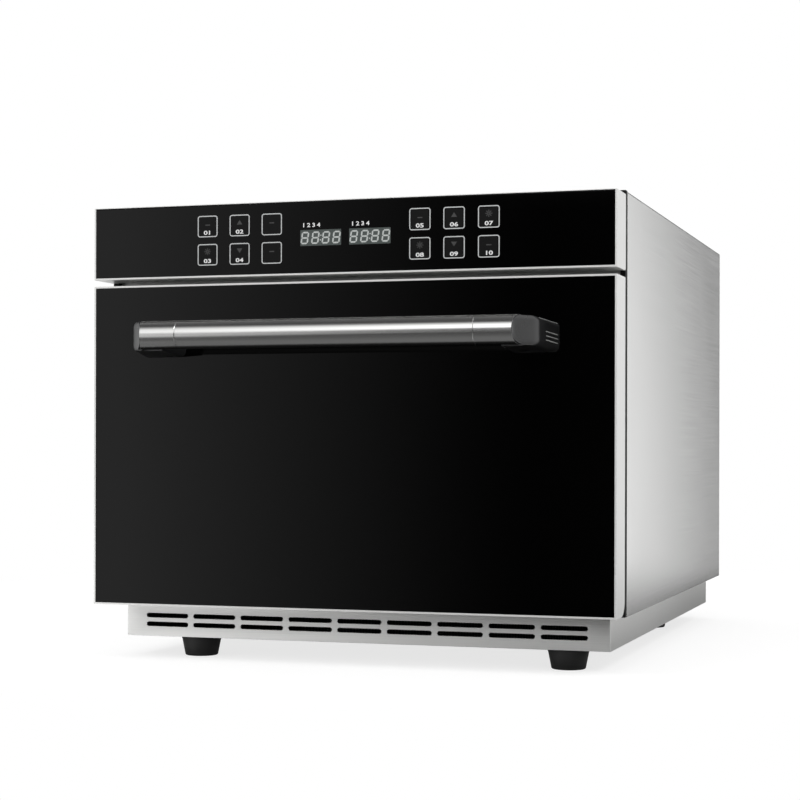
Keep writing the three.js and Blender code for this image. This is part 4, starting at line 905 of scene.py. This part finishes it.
class HandleEnd:
    """Sizes of the right end of the handle, and the curves that its bracket follows."""

    def __init__(self):
        bar_low, bar_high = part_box("handle_bar")
        self.low, self.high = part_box("handle_bracket_right")
        self.radius = (bar_high.z - bar_low.z) / 2
        self.centre = ((bar_low.y + bar_high.y) / 2, (bar_low.z + bar_high.z) / 2)
        self.front = bar_low.y
        self.back = bar_high.y
        self.start = bar_high.x + SLEEVE_GAP
        self.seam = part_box("handle_sleeve_right")[1].x - (self.radius + STEM_INSET) * FACE_SLOPE
        self.end = self.seam + SLEEVE_REACH
        self.stem = self.seam - STEM_WIDTH
        self.foot = self.high.y
        y = self.front + FACE_DEPTH
        x = self.face(y)
        self.ends = (x, y), (x + FLANK_PULL[0], y + FLANK_PULL[1]), (self.seam + FLANK_END, self.foot)

    def cut(self, y):
        """Where the sleeve's end plane lies, which slants a little."""
        return self.seam - SLEEVE_START + (y - self.front) * SLEEVE_SLOPE

    def face(self, y):
        """Where the bracket's slanted face lies."""
        return self.seam - FACE_START + (y - self.front) * FACE_SLOPE

    def droop(self, y):
        """How far the bracket sinks on its way from the tube to the door."""
        return DROOP * max(0.0, y - self.centre[0] - STEM_INSET)

    def flank(self, t, ends=None):
        """A point (x, y) of the outer flank, from its front corner (t = 0) to the door (t = 1)."""
        near, middle, far = ends or self.ends
        return tuple(f * (1 - t) ** 2 + 2 * m * t * (1 - t) + k * t * t for f, m, k in zip(near, middle, far))

    def outline(self, z):
        """The bracket (x, y) at a height, with its slanted face and its flank."""
        lens = math.sqrt(max(0.0, (self.radius - 0.2 * MM) ** 2 - (z - self.centre[1]) ** 2))
        face_front = self.centre[0] - lens
        inset = 0.0
        for near_end, round_off in ((z - self.low.z, ROUND_LOW), (self.high.z - z, ROUND_HIGH)):
            if near_end < round_off:
                inset = round_off - math.sqrt(round_off ** 2 - (round_off - near_end) ** 2)
        corner = self.ends[0]
        last = corner[1] - CORNER
        points = []
        for i in range(11):
            y = face_front + (last - face_front) * i / 10
            points.append((max(self.face(y), self.cut(y) + SEAT) - 0.4 * inset, y))
        turn = (self.face(last), last), corner, self.flank(0.1)
        for i in range(1, 7):
            u, v = self.flank(i / 6, turn)
            points.append((u - inset * (0.4 + 0.1 * i), v))
        for i in range(1, 13):
            u, v = self.flank(0.1 + 0.9 * i / 12)
            points.append((u - inset, v))
        base = self.stem - BASE_SPREAD + inset
        stem_side = self.stem + SEAT
        stem_front = self.centre[0] + STEM_INSET + SEAT
        points += [(base, self.foot), (base, self.foot - BASE_EDGE)]
        points += [(stem_side, self.foot - BASE_TAPER), (stem_side, stem_front)]
        for i in range(7):
            y = stem_front + (face_front - stem_front) * i / 6
            points.append((self.cut(y) + 0.1 * MM, y))
        return points


def make_sleeve(h, side, word):
    inner = h.radius - BAR_WALL
    plug = inner - SLEEVE_GAP
    shoulder = h.start + 3 * MM
    profile = [(h.start - SPIGOT, plug), (h.start, plug), (h.start, h.radius - BAR_CHAMFER)]
    profile += [(h.start + BAR_CHAMFER, h.radius), (h.end, h.radius), (h.end, inner), (shoulder, inner)]
    profile += [(shoulder, inner - 2 * MM), (h.start - SPIGOT, inner - 2 * MM)]
    bm = lathe(bmesh.new(), "x", h.centre, mirrored(side, profile), BAR_SIDES)
    sleeve = as_object("sleeve_tube_" + word, bm)
    under, over = h.centre[1] - 2 * h.radius, h.centre[1] + 2 * h.radius
    y0, y1 = h.front - 2 * MM, h.back + 2 * MM
    far = h.seam + 60 * MM
    beyond = [(h.cut(y0), y0), (far, y0), (far, y1), (h.cut(y1), y1)]
    boolean(sleeve, prism(bmesh.new(), mirrored(side, beyond), "z", under, over))
    near, far = span(side, h.stem, h.end + 1 * MM)
    boolean(sleeve, block(bmesh.new(), (near, h.centre[0] + STEM_INSET, under), (far, h.back + 1 * MM, over)))
    dress(soften(sleeve, 0.9 * MM, 3, 50), BRIGHT, "handle_sleeve_" + word, body="door")


def make_bracket(h, side, word):
    slices = []
    for i in range(BRACKET_SLICES + 1):
        z = h.low.z + (h.high.z - h.low.z) * (1 - math.cos(math.pi * i / BRACKET_SLICES)) / 2
        slices.append((mirrored(side, h.outline(z)), z))
    bm = loft(bmesh.new(), slices, "z")
    for vertex in bm.verts:
        vertex.co.z -= h.droop(vertex.co.y)
    plug = h.radius - BAR_WALL - 0.3 * MM
    near, far = h.start + 12 * MM, h.seam - SLEEVE_START - 0.5 * MM
    profile = [(near, 0), (near, plug), (far, plug), (far, 0)]
    lathe(bm, "x", h.centre, mirrored(side, profile), BAR_SIDES)
    piece("bracket_casting_" + word, bm, CAST, "handle_bracket_" + word, body="door", sharp=38)

    ribs = bmesh.new()

    def rib(radius, start, reach, height, out, out_at_ends):
        """A pale rod along the flank, whose middle stands out by a length that may be negative; its paleness
        is a painted highlight.
        """
        path = []
        for k in range(13):
            u, v = h.flank(start + reach * k / 12)
            shift = out if 0 < k < 12 else out_at_ends
            path.append((side * (u + shift), v, height - h.droop(v)))
        tube(ribs, path, radius, 10)

    # Three ridges along the flank, painted pale as their highlights.
    for i in (-1, 0, 1):
        height = h.centre[1] - RIB_DROP + i * RIB_PITCH
        rib(0.6 * MM, 0.4, 0.54, height, 0.1 * MM, -0.5 * MM)
    # A thin pale rod just inside the top outer edge: a painted highlight along that edge.
    rib(0.4 * MM, 0.1, 0.85, h.high.z - 1.2 * MM, -1.1 * MM, -1.1 * MM)
    piece("bracket_ribs_painted_highlight_" + word, ribs, PAINTED_HIGHLIGHT_RIB, body="door")


# Rear panel with its vents and screws
VENT_ROW_PITCH = 16 * MM
FAN_VENT_LENGTH = 108 * MM
TOP_VENT_DROP = 29.7 * MM
GLAND_HOLE = 10.3 * MM
SCREW_INSET = 9 * MM
FAN_SCREWS = (52 * MM, 56 * MM)


def rows_and_sides(low_u, high_u, low_v, high_v, columns, rows):
    """Screw places (u, v) along a rectangle: the lower and upper side, then the flanks between them."""
    places = []
    for i in range(columns):
        u = low_u + (high_u - low_u) * i / (columns - 1)
        places += [(u, low_v), (u, high_v)]
    for i in range(1, rows - 1):
        v = low_v + (high_v - low_v) * i / (rows - 1)
        places += [(low_u, v), (high_u, v)]
    return places


def middle_of(name):
    low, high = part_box(name)
    return (low + high) / 2


def cut_sheet(name, node, cuts, edge, look):
    """A node's flat upright sheet with small round corners, less the cuts."""
    low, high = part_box(node)
    outline = rounded(low.x, low.z, high.x, high.z, 2 * MM, 4)
    obj = as_object(name, prism(bmesh.new(), outline, "y", low.y, high.y))
    dress(soften(boolean(obj, cuts), edge), look, node)


def make_rear_panel():
    low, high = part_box("rear_panel")
    fan, core, gland = (middle_of(name) for name in ("cooling_fan_frame", "hv_transformer", "cable_gland"))
    bm = bmesh.new()
    y0, y1 = low.y - SHEET, high.y + SHEET
    rows = [fan.z + (row - 3) * VENT_ROW_PITCH for row in range(7)]
    slots(bm, 1, rows, fan.x, y0, y1, length=FAN_VENT_LENGTH)
    slots(bm, 2, rows, core.x, y0, y1)
    slots(bm, 6, [high.z - TOP_VENT_DROP], 0, y0, y1)
    prism(bm, circle(gland.x, gland.z, GLAND_HOLE, 48), "y", y0, y1)
    cut_sheet("rear_sheet", "rear_panel", bm, 0.25 * MM, STEEL_X)
    inset = SCREW_INSET
    places = rows_and_sides(low.x + inset, high.x - inset, low.z + inset, high.z - inset, 5, 5)
    places += [(fan.x + u * FAN_SCREWS[0], fan.z + v * FAN_SCREWS[1]) for u in (-1, 1) for v in (-1, 1)]
    screws("rear_screws", [(x, high.y, z) for x, z in places], "y", 1)


# Cable gland: flanged nut with flats, ribbed dome and open bore
def make_gland():
    low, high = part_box("cable_gland")
    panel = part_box("rear_panel")[1].y
    centre = ((low.x + high.x) / 2, (low.z + high.z) / 2)
    flat = 13 * MM
    bore = 5 * MM
    top = panel + 8 * MM

    def plain(angle):
        return 0

    def hexagon(angle):
        return flat / math.cos(angle % (math.pi / 3) - math.pi / 6)

    def ribbed(angle):
        return -0.5 * MM * (0.5 + 0.5 * math.cos(16 * angle))

    # Along the gland: a place, a shape and what is added to the shape's radius there
    stations = [
        (low.y, plain, 9.2 * MM),
        (panel - 12 * MM, plain, 9.7 * MM),
        (panel - 9.5 * MM, hexagon, -0.6 * MM),
        (panel - 9 * MM, hexagon, 0),
        (panel - 2.5 * MM, hexagon, 0),
        (panel - 1.8 * MM, plain, 9.7 * MM),
        (panel + 0.2 * MM, plain, 9.7 * MM),
        (panel + 0.3 * MM, plain, 14.6 * MM),
        (panel + 1.4 * MM, plain, 14.6 * MM),
        (panel + 1.6 * MM, hexagon, -0.5 * MM),
        (top - 0.6 * MM, hexagon, -0.4 * MM),
        (top, hexagon, -1.4 * MM),
        (top + 0.1 * MM, ribbed, 10 * MM),
        (high.y - 3 * MM, ribbed, 9.6 * MM),
        (high.y - 0.9 * MM, plain, 8.2 * MM),
        (high.y, plain, 6.8 * MM),
        (high.y, plain, bore + 0.3 * MM),
        (high.y - 1 * MM, plain, bore),
        (low.y, plain, bore),
    ]
    bm = bmesh.new()
    rings = []
    for y, shape, size in stations:
        rings.append(turned_ring(bm, "y", centre, y, lambda a: shape(a) + size, 96))
    piece("gland_body", skin(bm, rings, closed=True), PLASTIC, "cable_gland")


# Woven filter behind the vent slots
FILTER_RAIL = 3 * MM
FILTER_PITCH = 1.8 * MM
FILTER_WIRE = 0.3 * MM


def make_filter():
    low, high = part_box("air_filter")
    rail = FILTER_RAIL
    middle = low.y + 3 * MM
    outer = [(low.x, low.z), (high.x, low.z), (high.x, high.z), (low.x, high.z)]
    inner = [(low.x + rail, low.z + rail), (high.x - rail, low.z + rail)]
    inner += [(high.x - rail, high.z - rail), (low.x + rail, high.z - rail)]
    loops = [(outer, low.y), (outer, high.y), (inner, high.y), (inner, low.y)]
    bm = loft(bmesh.new(), loops, "y", closed=True)
    width, height = high.x - low.x - 2 * rail, high.z - low.z - 2 * rail
    columns, rows = int(width / FILTER_PITCH), int(height / FILTER_PITCH)
    for i in range(1, columns):
        x = low.x + rail + width * i / columns
        tube(bm, [(x, middle, low.z + rail / 2), (x, middle, high.z - rail / 2)], FILTER_WIRE, 6)
    y = middle + FILTER_WIRE
    for i in range(1, rows):
        z = low.z + rail + height * i / rows
        tube(bm, [(low.x + rail / 2, y, z), (high.x - rail / 2, y, z)], FILTER_WIRE, 6)
    piece("filter_mesh", bm, FILTER, "air_filter")


# Inner side of the door: a panel with folded edges and a pressed plug, and the gasket round it
PANEL_LIP = 6 * MM
PANEL_FOLD = 2.4 * MM
PANEL_PRESS = 4 * MM
PANEL_RADIUS = 3 * MM
PANEL_SCREW_INSET = (14 * MM, 12 * MM)
PLUG_RADIUS = 14 * MM


def make_inner_panel():
    low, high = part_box("door_inner_panel")
    gasket_low, gasket_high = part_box("door_gasket")
    flat = low.y + PANEL_LIP
    edge = (low.x, low.z), (high.x, high.z)
    plug = (gasket_low.x - 2 * MM, gasket_low.z - 2 * MM), (gasket_high.x + 2 * MM, gasket_high.z + 2 * MM)
    turns = [math.radians(angle) for angle in range(0, 91, 15)]

    def bend(corners, radius, back, off):
        """Loops round a convex fold whose far side is at a depth."""
        loops = []
        for a in turns:
            inset = PANEL_FOLD - (PANEL_FOLD - off) * math.cos(a)
            depth = back - PANEL_FOLD + (PANEL_FOLD - off) * math.sin(a)
            loops.append((inset_loop(*corners, inset, radius), depth))
        return loops

    def skin_loops(off):
        """Loops of the outer skin, moved inward by the sheet's thickness for the inner one."""
        loops = [(inset_loop(*edge, off, PANEL_RADIUS - off), low.y)]
        loops += bend(edge, PANEL_RADIUS, flat, off)
        for a in turns:
            inset = -PANEL_PRESS + (PANEL_PRESS + off) * math.sin(a)
            depth = flat + PANEL_PRESS - (PANEL_PRESS + off) * math.cos(a)
            loops.append((inset_loop(*plug, inset, PLUG_RADIUS), depth))
        return loops + bend(plug, PLUG_RADIUS, high.y, off)

    bm = loft(bmesh.new(), skin_loops(SHEET)[::-1] + skin_loops(0.0), "y")
    piece("inner_panel_skin", bm, STEEL_X, "door_inner_panel", body="door", sharp=40)
    u, v = PANEL_SCREW_INSET
    places = rows_and_sides(low.x + u, high.x - u, low.z + v, high.z - v, 5, 5)
    places = [(x, flat, z) for x, z in places]
    screws("inner_panel_screws", places, "y", 1, "door", radius=3 * MM, height=1.5 * MM)


# The gasket's section: (share of its width, share of its depth)
GASKET_WIDTH = 11 * MM
GASKET_SECTION = (
    (0.0, 0.0), (0.0, 0.5), (0.06, 0.85), (0.2, 1.0), (0.36, 0.92), (0.44, 0.55),
    (0.56, 0.55), (0.64, 0.92), (0.8, 1.0), (0.94, 0.85), (1.0, 0.5), (1.0, 0.0),
)


def make_gasket():
    low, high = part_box("door_gasket")
    corners = (low.x, low.z), (high.x, high.z)
    loops = []
    for across, up in GASKET_SECTION:
        inset = across * GASKET_WIDTH
        loops.append((inset_loop(*corners, inset, 13 * MM - inset * 0.9), low.y + up * (high.y - low.y)))
    bm = loft(bmesh.new(), loops, "y", closed=True)
    piece("gasket_profile", bm, RUBBER, "door_gasket", body="door", sharp=50)


# Inside of the cavity
BAFFLE_HOLE = 4.2 * MM
BAFFLE_PITCH = 12 * MM
BAFFLE_RINGS = 5
BAFFLE_SCREW_INSET = 8 * MM
OUTLET_LENGTH = 24 * MM
OUTLET_HEIGHT = 9 * MM
OUTLET_INSET = 21.7 * MM
OUTLET_PITCH = 40 * MM
HEATER_HOLE = 4.1 * MM
HEATER_RADIUS = 3.5 * MM
LOOP_BEND = 16 * MM
TAIL_BEND = 4 * MM


def make_baffle():
    low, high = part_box("fan_baffle")
    middle = (low + high) / 2
    bm = bmesh.new()
    y0, y1 = low.y - SHEET, high.y + SHEET
    for ring_number in range(BAFFLE_RINGS):
        count = 6 * ring_number or 1
        r = ring_number * BAFFLE_PITCH
        for i in range(count):
            angle = 2 * math.pi * (i + 0.5 * (ring_number % 2)) / count
            hole = circle(middle.x + r * math.cos(angle), middle.z + r * math.sin(angle), BAFFLE_HOLE)
            prism(bm, hole, "y", y0, y1)
    for side in (-1, 1):
        for row in range(4):
            x = side * (high.x - OUTLET_INSET)
            z = middle.z + (row - 1.5) * OUTLET_PITCH
            prism(bm, slot_outline(x, z, OUTLET_LENGTH, OUTLET_HEIGHT), "y", y0, y1)
        for name in ("upper_heater", "lower_heater"):
            x = side * (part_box(name)[1].x - HEATER_RADIUS)
            prism(bm, circle(x, middle_of(name).z, HEATER_HOLE), "y", y0, y1)
    cut_sheet("baffle_sheet", "fan_baffle", bm, 0.2 * MM, CAVITY)
    inset = BAFFLE_SCREW_INSET
    heights = (low.z + inset, high.z - inset)
    places = [(side * (high.x - inset), low.y, z) for side in (-1, 1) for z in heights]
    screws("baffle_screws", places, "y", -1, radius=3 * MM, height=1.6 * MM)


def make_loop_heater(name):
    low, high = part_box(name)
    radius = (high.z - low.z) / 2
    z = (low.z + high.z) / 2
    x0, x1 = low.x + radius, high.x - radius
    front = low.y + radius
    path = bent([(x0, high.y, z), (x0, front, z), (x1, front, z), (x1, high.y, z)], LOOP_BEND, 10)
    piece(name + "_tube", tube(bmesh.new(), path, radius, 20), SHEATH, name)


def make_ring_heater():
    low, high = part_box("ring_heater")
    radius = HEATER_RADIUS
    ring_radius = (high.x - low.x) / 2 - radius
    centre = (low + high) / 2
    leg = ring_radius * math.sqrt(0.5)
    path = [(u, low.y + radius, v) for u, v in arc(centre.x, centre.z, ring_radius, 45, -225, 72)]
    start_tail = (centre.x + leg, high.y, centre.z + leg)
    end_tail = (centre.x - leg, high.y, centre.z + leg)
    start = bent([start_tail, path[0], path[1]], TAIL_BEND, 6)[:-1]
    end = bent([path[-2], path[-1], end_tail], TAIL_BEND, 6)[1:]
    bm = tube(bmesh.new(), start + path[1:-1] + end, radius, 20)
    piece("ring_heater_tube", bm, SHEATH, "ring_heater")


RACK_WIRE = 2.5 * MM
RACK_CROSS_WIRE = 1.9 * MM
RACK_WIRES = 11
RACK_CORNER = 10 * MM
RACK_BEND = 1.4 * MM


def make_rack():
    low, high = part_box("oven_rack")
    wire = RACK_WIRE
    z = low.z + wire
    outline = inset_loop((low.x, low.y), (high.x, high.y), wire, RACK_CORNER)
    points = [Vector((u, v, z)) for u, v in outline]
    half = (points[0] + points[-1]) / 2
    bm = tube(bmesh.new(), [half] + points + [half], wire, 16)
    front, back = low.y + wire, high.y - wire
    for i in range(1, RACK_WIRES + 1):
        x = low.x + (high.x - low.x) * i / (RACK_WIRES + 1)
        corners = [(x, front, z), (x, front, z + wire), (x, back, z + wire), (x, back, z)]
        tube(bm, bent(corners, RACK_BEND, 4), RACK_CROSS_WIRE, 12)
    for third in (1, 2):
        y = low.y + third * (high.y - low.y) / 3
        tube(bm, [(low.x + wire, y, z), (high.x - wire, y, z)], RACK_CROSS_WIRE, 12)
    piece("rack_wires", bm, BRIGHT, "oven_rack", body="rack")


# Screws round the cavity opening and on the flanges beside it
OPENING_REACH = 5 * MM
FLANGE_INSET = 16 * MM
FLANGE_HEIGHTS = (14 * MM, 220 * MM, 372 * MM)


def make_front_screws():
    low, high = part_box("front_frame")
    liner_low, liner_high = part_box("cavity_liner")
    reach = OPENING_REACH
    u, v = (liner_low.x + reach, liner_high.x - reach), (liner_low.z + reach, liner_high.z - reach)
    places = rows_and_sides(*u, *v, 5, 2)
    places += [(side * (high.x - FLANGE_INSET), low.z + z) for side in (-1, 1) for z in FLANGE_HEIGHTS]
    places = [(x, low.y, z) for x, z in places]
    screws("front_frame_screws", places, "y", -1, radius=2.8 * MM, height=1.1 * MM)


# Finishes and edge radii (mm) of the nodes that keep their own shape
KEPT = (
    (STEEL_X, 0.25, "front_frame"),
    (ZINC, 0.25, "chassis_floor"),
    (ZINC, 0.3, "magnetron"),
    (ZINC, 0.4, "board_tray head_bracket hinge_arm_left hinge_arm_right"),
    (ZINC, 0.6, "waveguide"),
    (SEAL, 0.6, "front_seal"),
    (WOOL, 2.5, "insulation_jacket"),
    (CAVITY, 0.25, "convection_impeller"),
    (CAVITY, 0.3, "mode_stirrer"),
    (CAVITY, 0.4, "rack_runner_left rack_runner_right"),
    (CAVITY, 0.5, "cavity_liner"),
    (CERAMIC, 1.5, "ceramic_deck"),
    (CORE, 0.5, "stirrer_motor"),
    (CORE, 0.8, "convection_motor hv_transformer"),
    (PLASTIC, 0.3, "cooling_blades"),
    (PLASTIC, 0.4, "display_left display_right interlock_switch_left interlock_switch_right"),
    (PLASTIC, 0.8, "cooling_fan_frame"),
    (GREY, 0.4, "switch_plunger_left switch_plunger_right"),
    (GREY, 1.0, "hv_capacitor"),
    (BOARD, 0.2, "touch_board"),
    (BOARD, 0.3, "relay_board"),
    (GLASS, 0.5, "control_glass door_glass"),
    (BRIGHT, 0.4, "hinge_pin_left hinge_pin_right"),
    (BRIGHT, 0.5, "latch_tongue_left latch_tongue_right"),
)


def finish_kept_nodes():
    for look, edge, names in KEPT:
        for name in names.split():
            obj = frame["nodes"][name]
            for holder in obj.material_slots:
                holder.material = look
            soften(obj, edge * MM)
            obj.modifiers["edges"].harden_normals = False


# Camera, at the place from which the photograph was taken
CAMERA_PLACE = (0.70432, -2.36208, 0.25047)
CAMERA_TURN = 17.63
CAMERA_ROLL = 0.132
LENS = 85.28
SHIFT_Y = 0.0566


def make_camera():
    data = bpy.data.cameras.new("camera")
    data.lens = LENS
    data.sensor_width = 36
    data.shift_y = SHIFT_Y
    camera = bpy.data.objects.new("camera", data)
    turn = Matrix.Rotation(math.radians(CAMERA_TURN), 4, "Z")
    level = Matrix.Rotation(math.radians(90), 4, "X")
    roll = Matrix.Rotation(math.radians(CAMERA_ROLL), 4, "Z")
    camera.matrix_world = Matrix.Translation(CAMERA_PLACE) @ turn @ level @ roll
    scene.collection.objects.link(camera)
    scene.camera = camera


# Studio light. Angles are in degrees: left and right are from the middle of the front and of the back,
# rise is from the horizon.
BAND_LEFT = 25.5
BAND_RIGHT = 15.5
WINDOW = 1.08
DIFFUSE_LEVEL = 0.8


def make_world():
    world = bpy.data.worlds.new("studio")
    world.use_nodes = True
    scene.world = world
    world.node_tree.nodes.clear()
    g = Graph(world.node_tree)
    x, y, z = g.parts(g.output("TexCoord", key="Generated"))
    degrees = 180 / math.pi
    left = g.math("ARCTAN2", x * -1, y * -1) * degrees
    right = g.math("ARCTAN2", x, y) * degrees
    rise = g.math("ARCSINE", z) * degrees
    # A band over the front, which the handle shows as its highlight
    foot = g.ramp(left, BAND_RIGHT, BAND_LEFT, 14, 15, "LINEAR")
    level = g.ramp(left, BAND_RIGHT, BAND_LEFT, 1.9, 1.15, "LINEAR")
    level = level - g.ramp(left, 28, 45, 0.0, 0.2) - g.ramp(left, 12, -8, 0.0, 0.95)
    band = g.ramp(rise, 7, foot) * g.ramp(rise, 62, 32) * level
    # A haze at the left, which greys the glass there
    haze = g.math("POWER", g.ramp(left, 13.5, 26, kind="LINEAR"), 1.6) * 0.82
    haze = haze * g.ramp(rise, -24, -8) * g.ramp(rise, 40, 20)
    # A window at the far left, which lights the left end of the plinth
    window = g.ramp(rise, -26, -14) * g.ramp(rise, 34, 22) * g.ramp(left, 27, 33, 0.0, WINDOW)
    # Paler floor at both sides of the front, and a faint ceiling
    aside = g.math("ABSOLUTE", left - 12)
    low_sides = g.ramp(aside, 22, 42, 0.0, 0.45) * g.ramp(rise, -12, -24)
    ground = g.most(g.ramp(rise, -8, -50, 0.015, 0.13), low_sides, g.ramp(rise, 55, 75, 0.0, 0.09))
    front = g.most(band, haze, window) + ground
    # A bright wall behind, with a darker strip that shades the right side of the body
    ceiling = g.ramp(y, 0.3, 0.5, 0.12, 0.45)
    wall = g.ramp(rise, -30, -8, 0.3, 1.0) * g.ramp(rise, 60, 40, ceiling, 1.0)
    strip = g.ramp(right, 6.8, 12.5, 0.1, 1.3) - g.ramp(right, 15, 35, 0.0, 0.45)
    wall = wall * g.most(strip, g.ramp(right, 2, -9, 0.0, 1.0))
    behind = g.ramp(g.math("ABSOLUTE", left), 70, 100)
    light = front * (1.0 - behind) + wall * behind
    diffuse_ray = g.ray("Diffuse")
    light = light * (1.0 - diffuse_ray) + diffuse_ray * DIFFUSE_LEVEL
    camera_ray = g.ray("Camera")
    strength = camera_ray + light * (1.0 - camera_ray)
    shade = g.output("Background", {"Color": grey(1), "Strength": strength})
    g.node("OutputWorld", {"Surface": shade})


def area_lamp(name, place, target, size, power, shine, spread=180):
    data = bpy.data.lights.new(name, "AREA")
    data.shape = "RECTANGLE"
    data.size, data.size_y = size
    data.energy = power
    data.spread = math.radians(spread)
    lamp = bpy.data.objects.new(name, data)
    aim = Vector(target) - Vector(place)
    lamp.matrix_world = Matrix.Translation(place) @ aim.to_track_quat("-Z", "Y").to_matrix().to_4x4()
    lamp.visible_camera = False
    lamp.visible_glossy = shine
    scene.collection.objects.link(lamp)


def make_lamps():
    area_lamp("key", (-1.5, -1.9, 2.2), (0, 0, 0.25), (1.4, 1.0), 22, False)
    area_lamp("edge", (1.5, -1.0, 1.9), (0.2, -0.35, 0.3), (0.7, 0.7), 10, True)
    area_lamp("low", (-1.02, -1.2, 0.08), (-0.2, -0.3, 0.01), (0.5, 0.16), 0.062, True, 30)


# Pale floor that fades into the white background
FLOOR_RADIUS = 1.15
FLOOR_FADE = 0.75
FLOOR_CENTRE = (0.0, 0.4, 0.0)


def make_floor():
    bm = bmesh.new()
    bmesh.ops.create_circle(bm, cap_ends=True, segments=96, radius=FLOOR_RADIUS)
    floor = as_object("floor", bm)
    floor.location = FLOOR_CENTRE
    made = bpy.data.materials.new("floor_paper")
    made.use_nodes = True
    made.node_tree.nodes.clear()
    g = Graph(made.node_tree)
    place = g.output("TexCoord", key="Object")
    reach = g.output("VectorMath", {0: place}, "Value", operation="LENGTH")
    plain = g.diffuse(g.blend(g.ramp(g.noise(220.0), 0.3, 0.7), grey(0.8), grey(0.84)))
    seen = g.output("AddShader", {0: g.diffuse(grey(0.34)), 1: g.emission(0.73)})
    camera_ray = g.ray("Camera")
    paper = g.mix(camera_ray, plain, seen)
    # What glossy surfaces see: a dim floor in front that darkens to the rear, paler at both sides
    x, y = g.parts(place)[:2]
    near = g.ramp(y, -1.35, -0.92, 0.07, 0.17) * g.ramp(y, -0.35, 0.4, 1.0, 0.25)
    dim = g.emission(g.most(near, g.ramp(g.math("ABSOLUTE", x), 0.4, 0.53, 0.0, 0.6)))
    paper = g.mix(g.ray("Glossy"), paper, dim)
    fade = camera_ray * g.ramp(reach, FLOOR_FADE, FLOOR_RADIUS - 0.05)
    g.node("OutputMaterial", {"Surface": g.mix(fade, paper, g.emission(1.0))})
    floor.data.materials.append(made)


make_camera()
make_world()
make_lamps()
make_floor()
finish_kept_nodes()
make_wrapper()
make_plinth()
for foot in FEET:
    make_foot(foot)
make_door_frame()
make_head_frame()
make_keys()
make_display("display_left")
make_display("display_right")
make_bar()
handle_end = HandleEnd()
for side, word in ((-1, "left"), (1, "right")):
    make_sleeve(handle_end, side, word)
    make_bracket(handle_end, side, word)
make_rear_panel()
make_gland()
make_filter()
make_inner_panel()
make_gasket()
make_baffle()
make_loop_heater("upper_heater")
make_loop_heater("lower_heater")
make_ring_heater()
make_rack()
make_front_screws()

scene.view_settings.view_transform = "Standard"
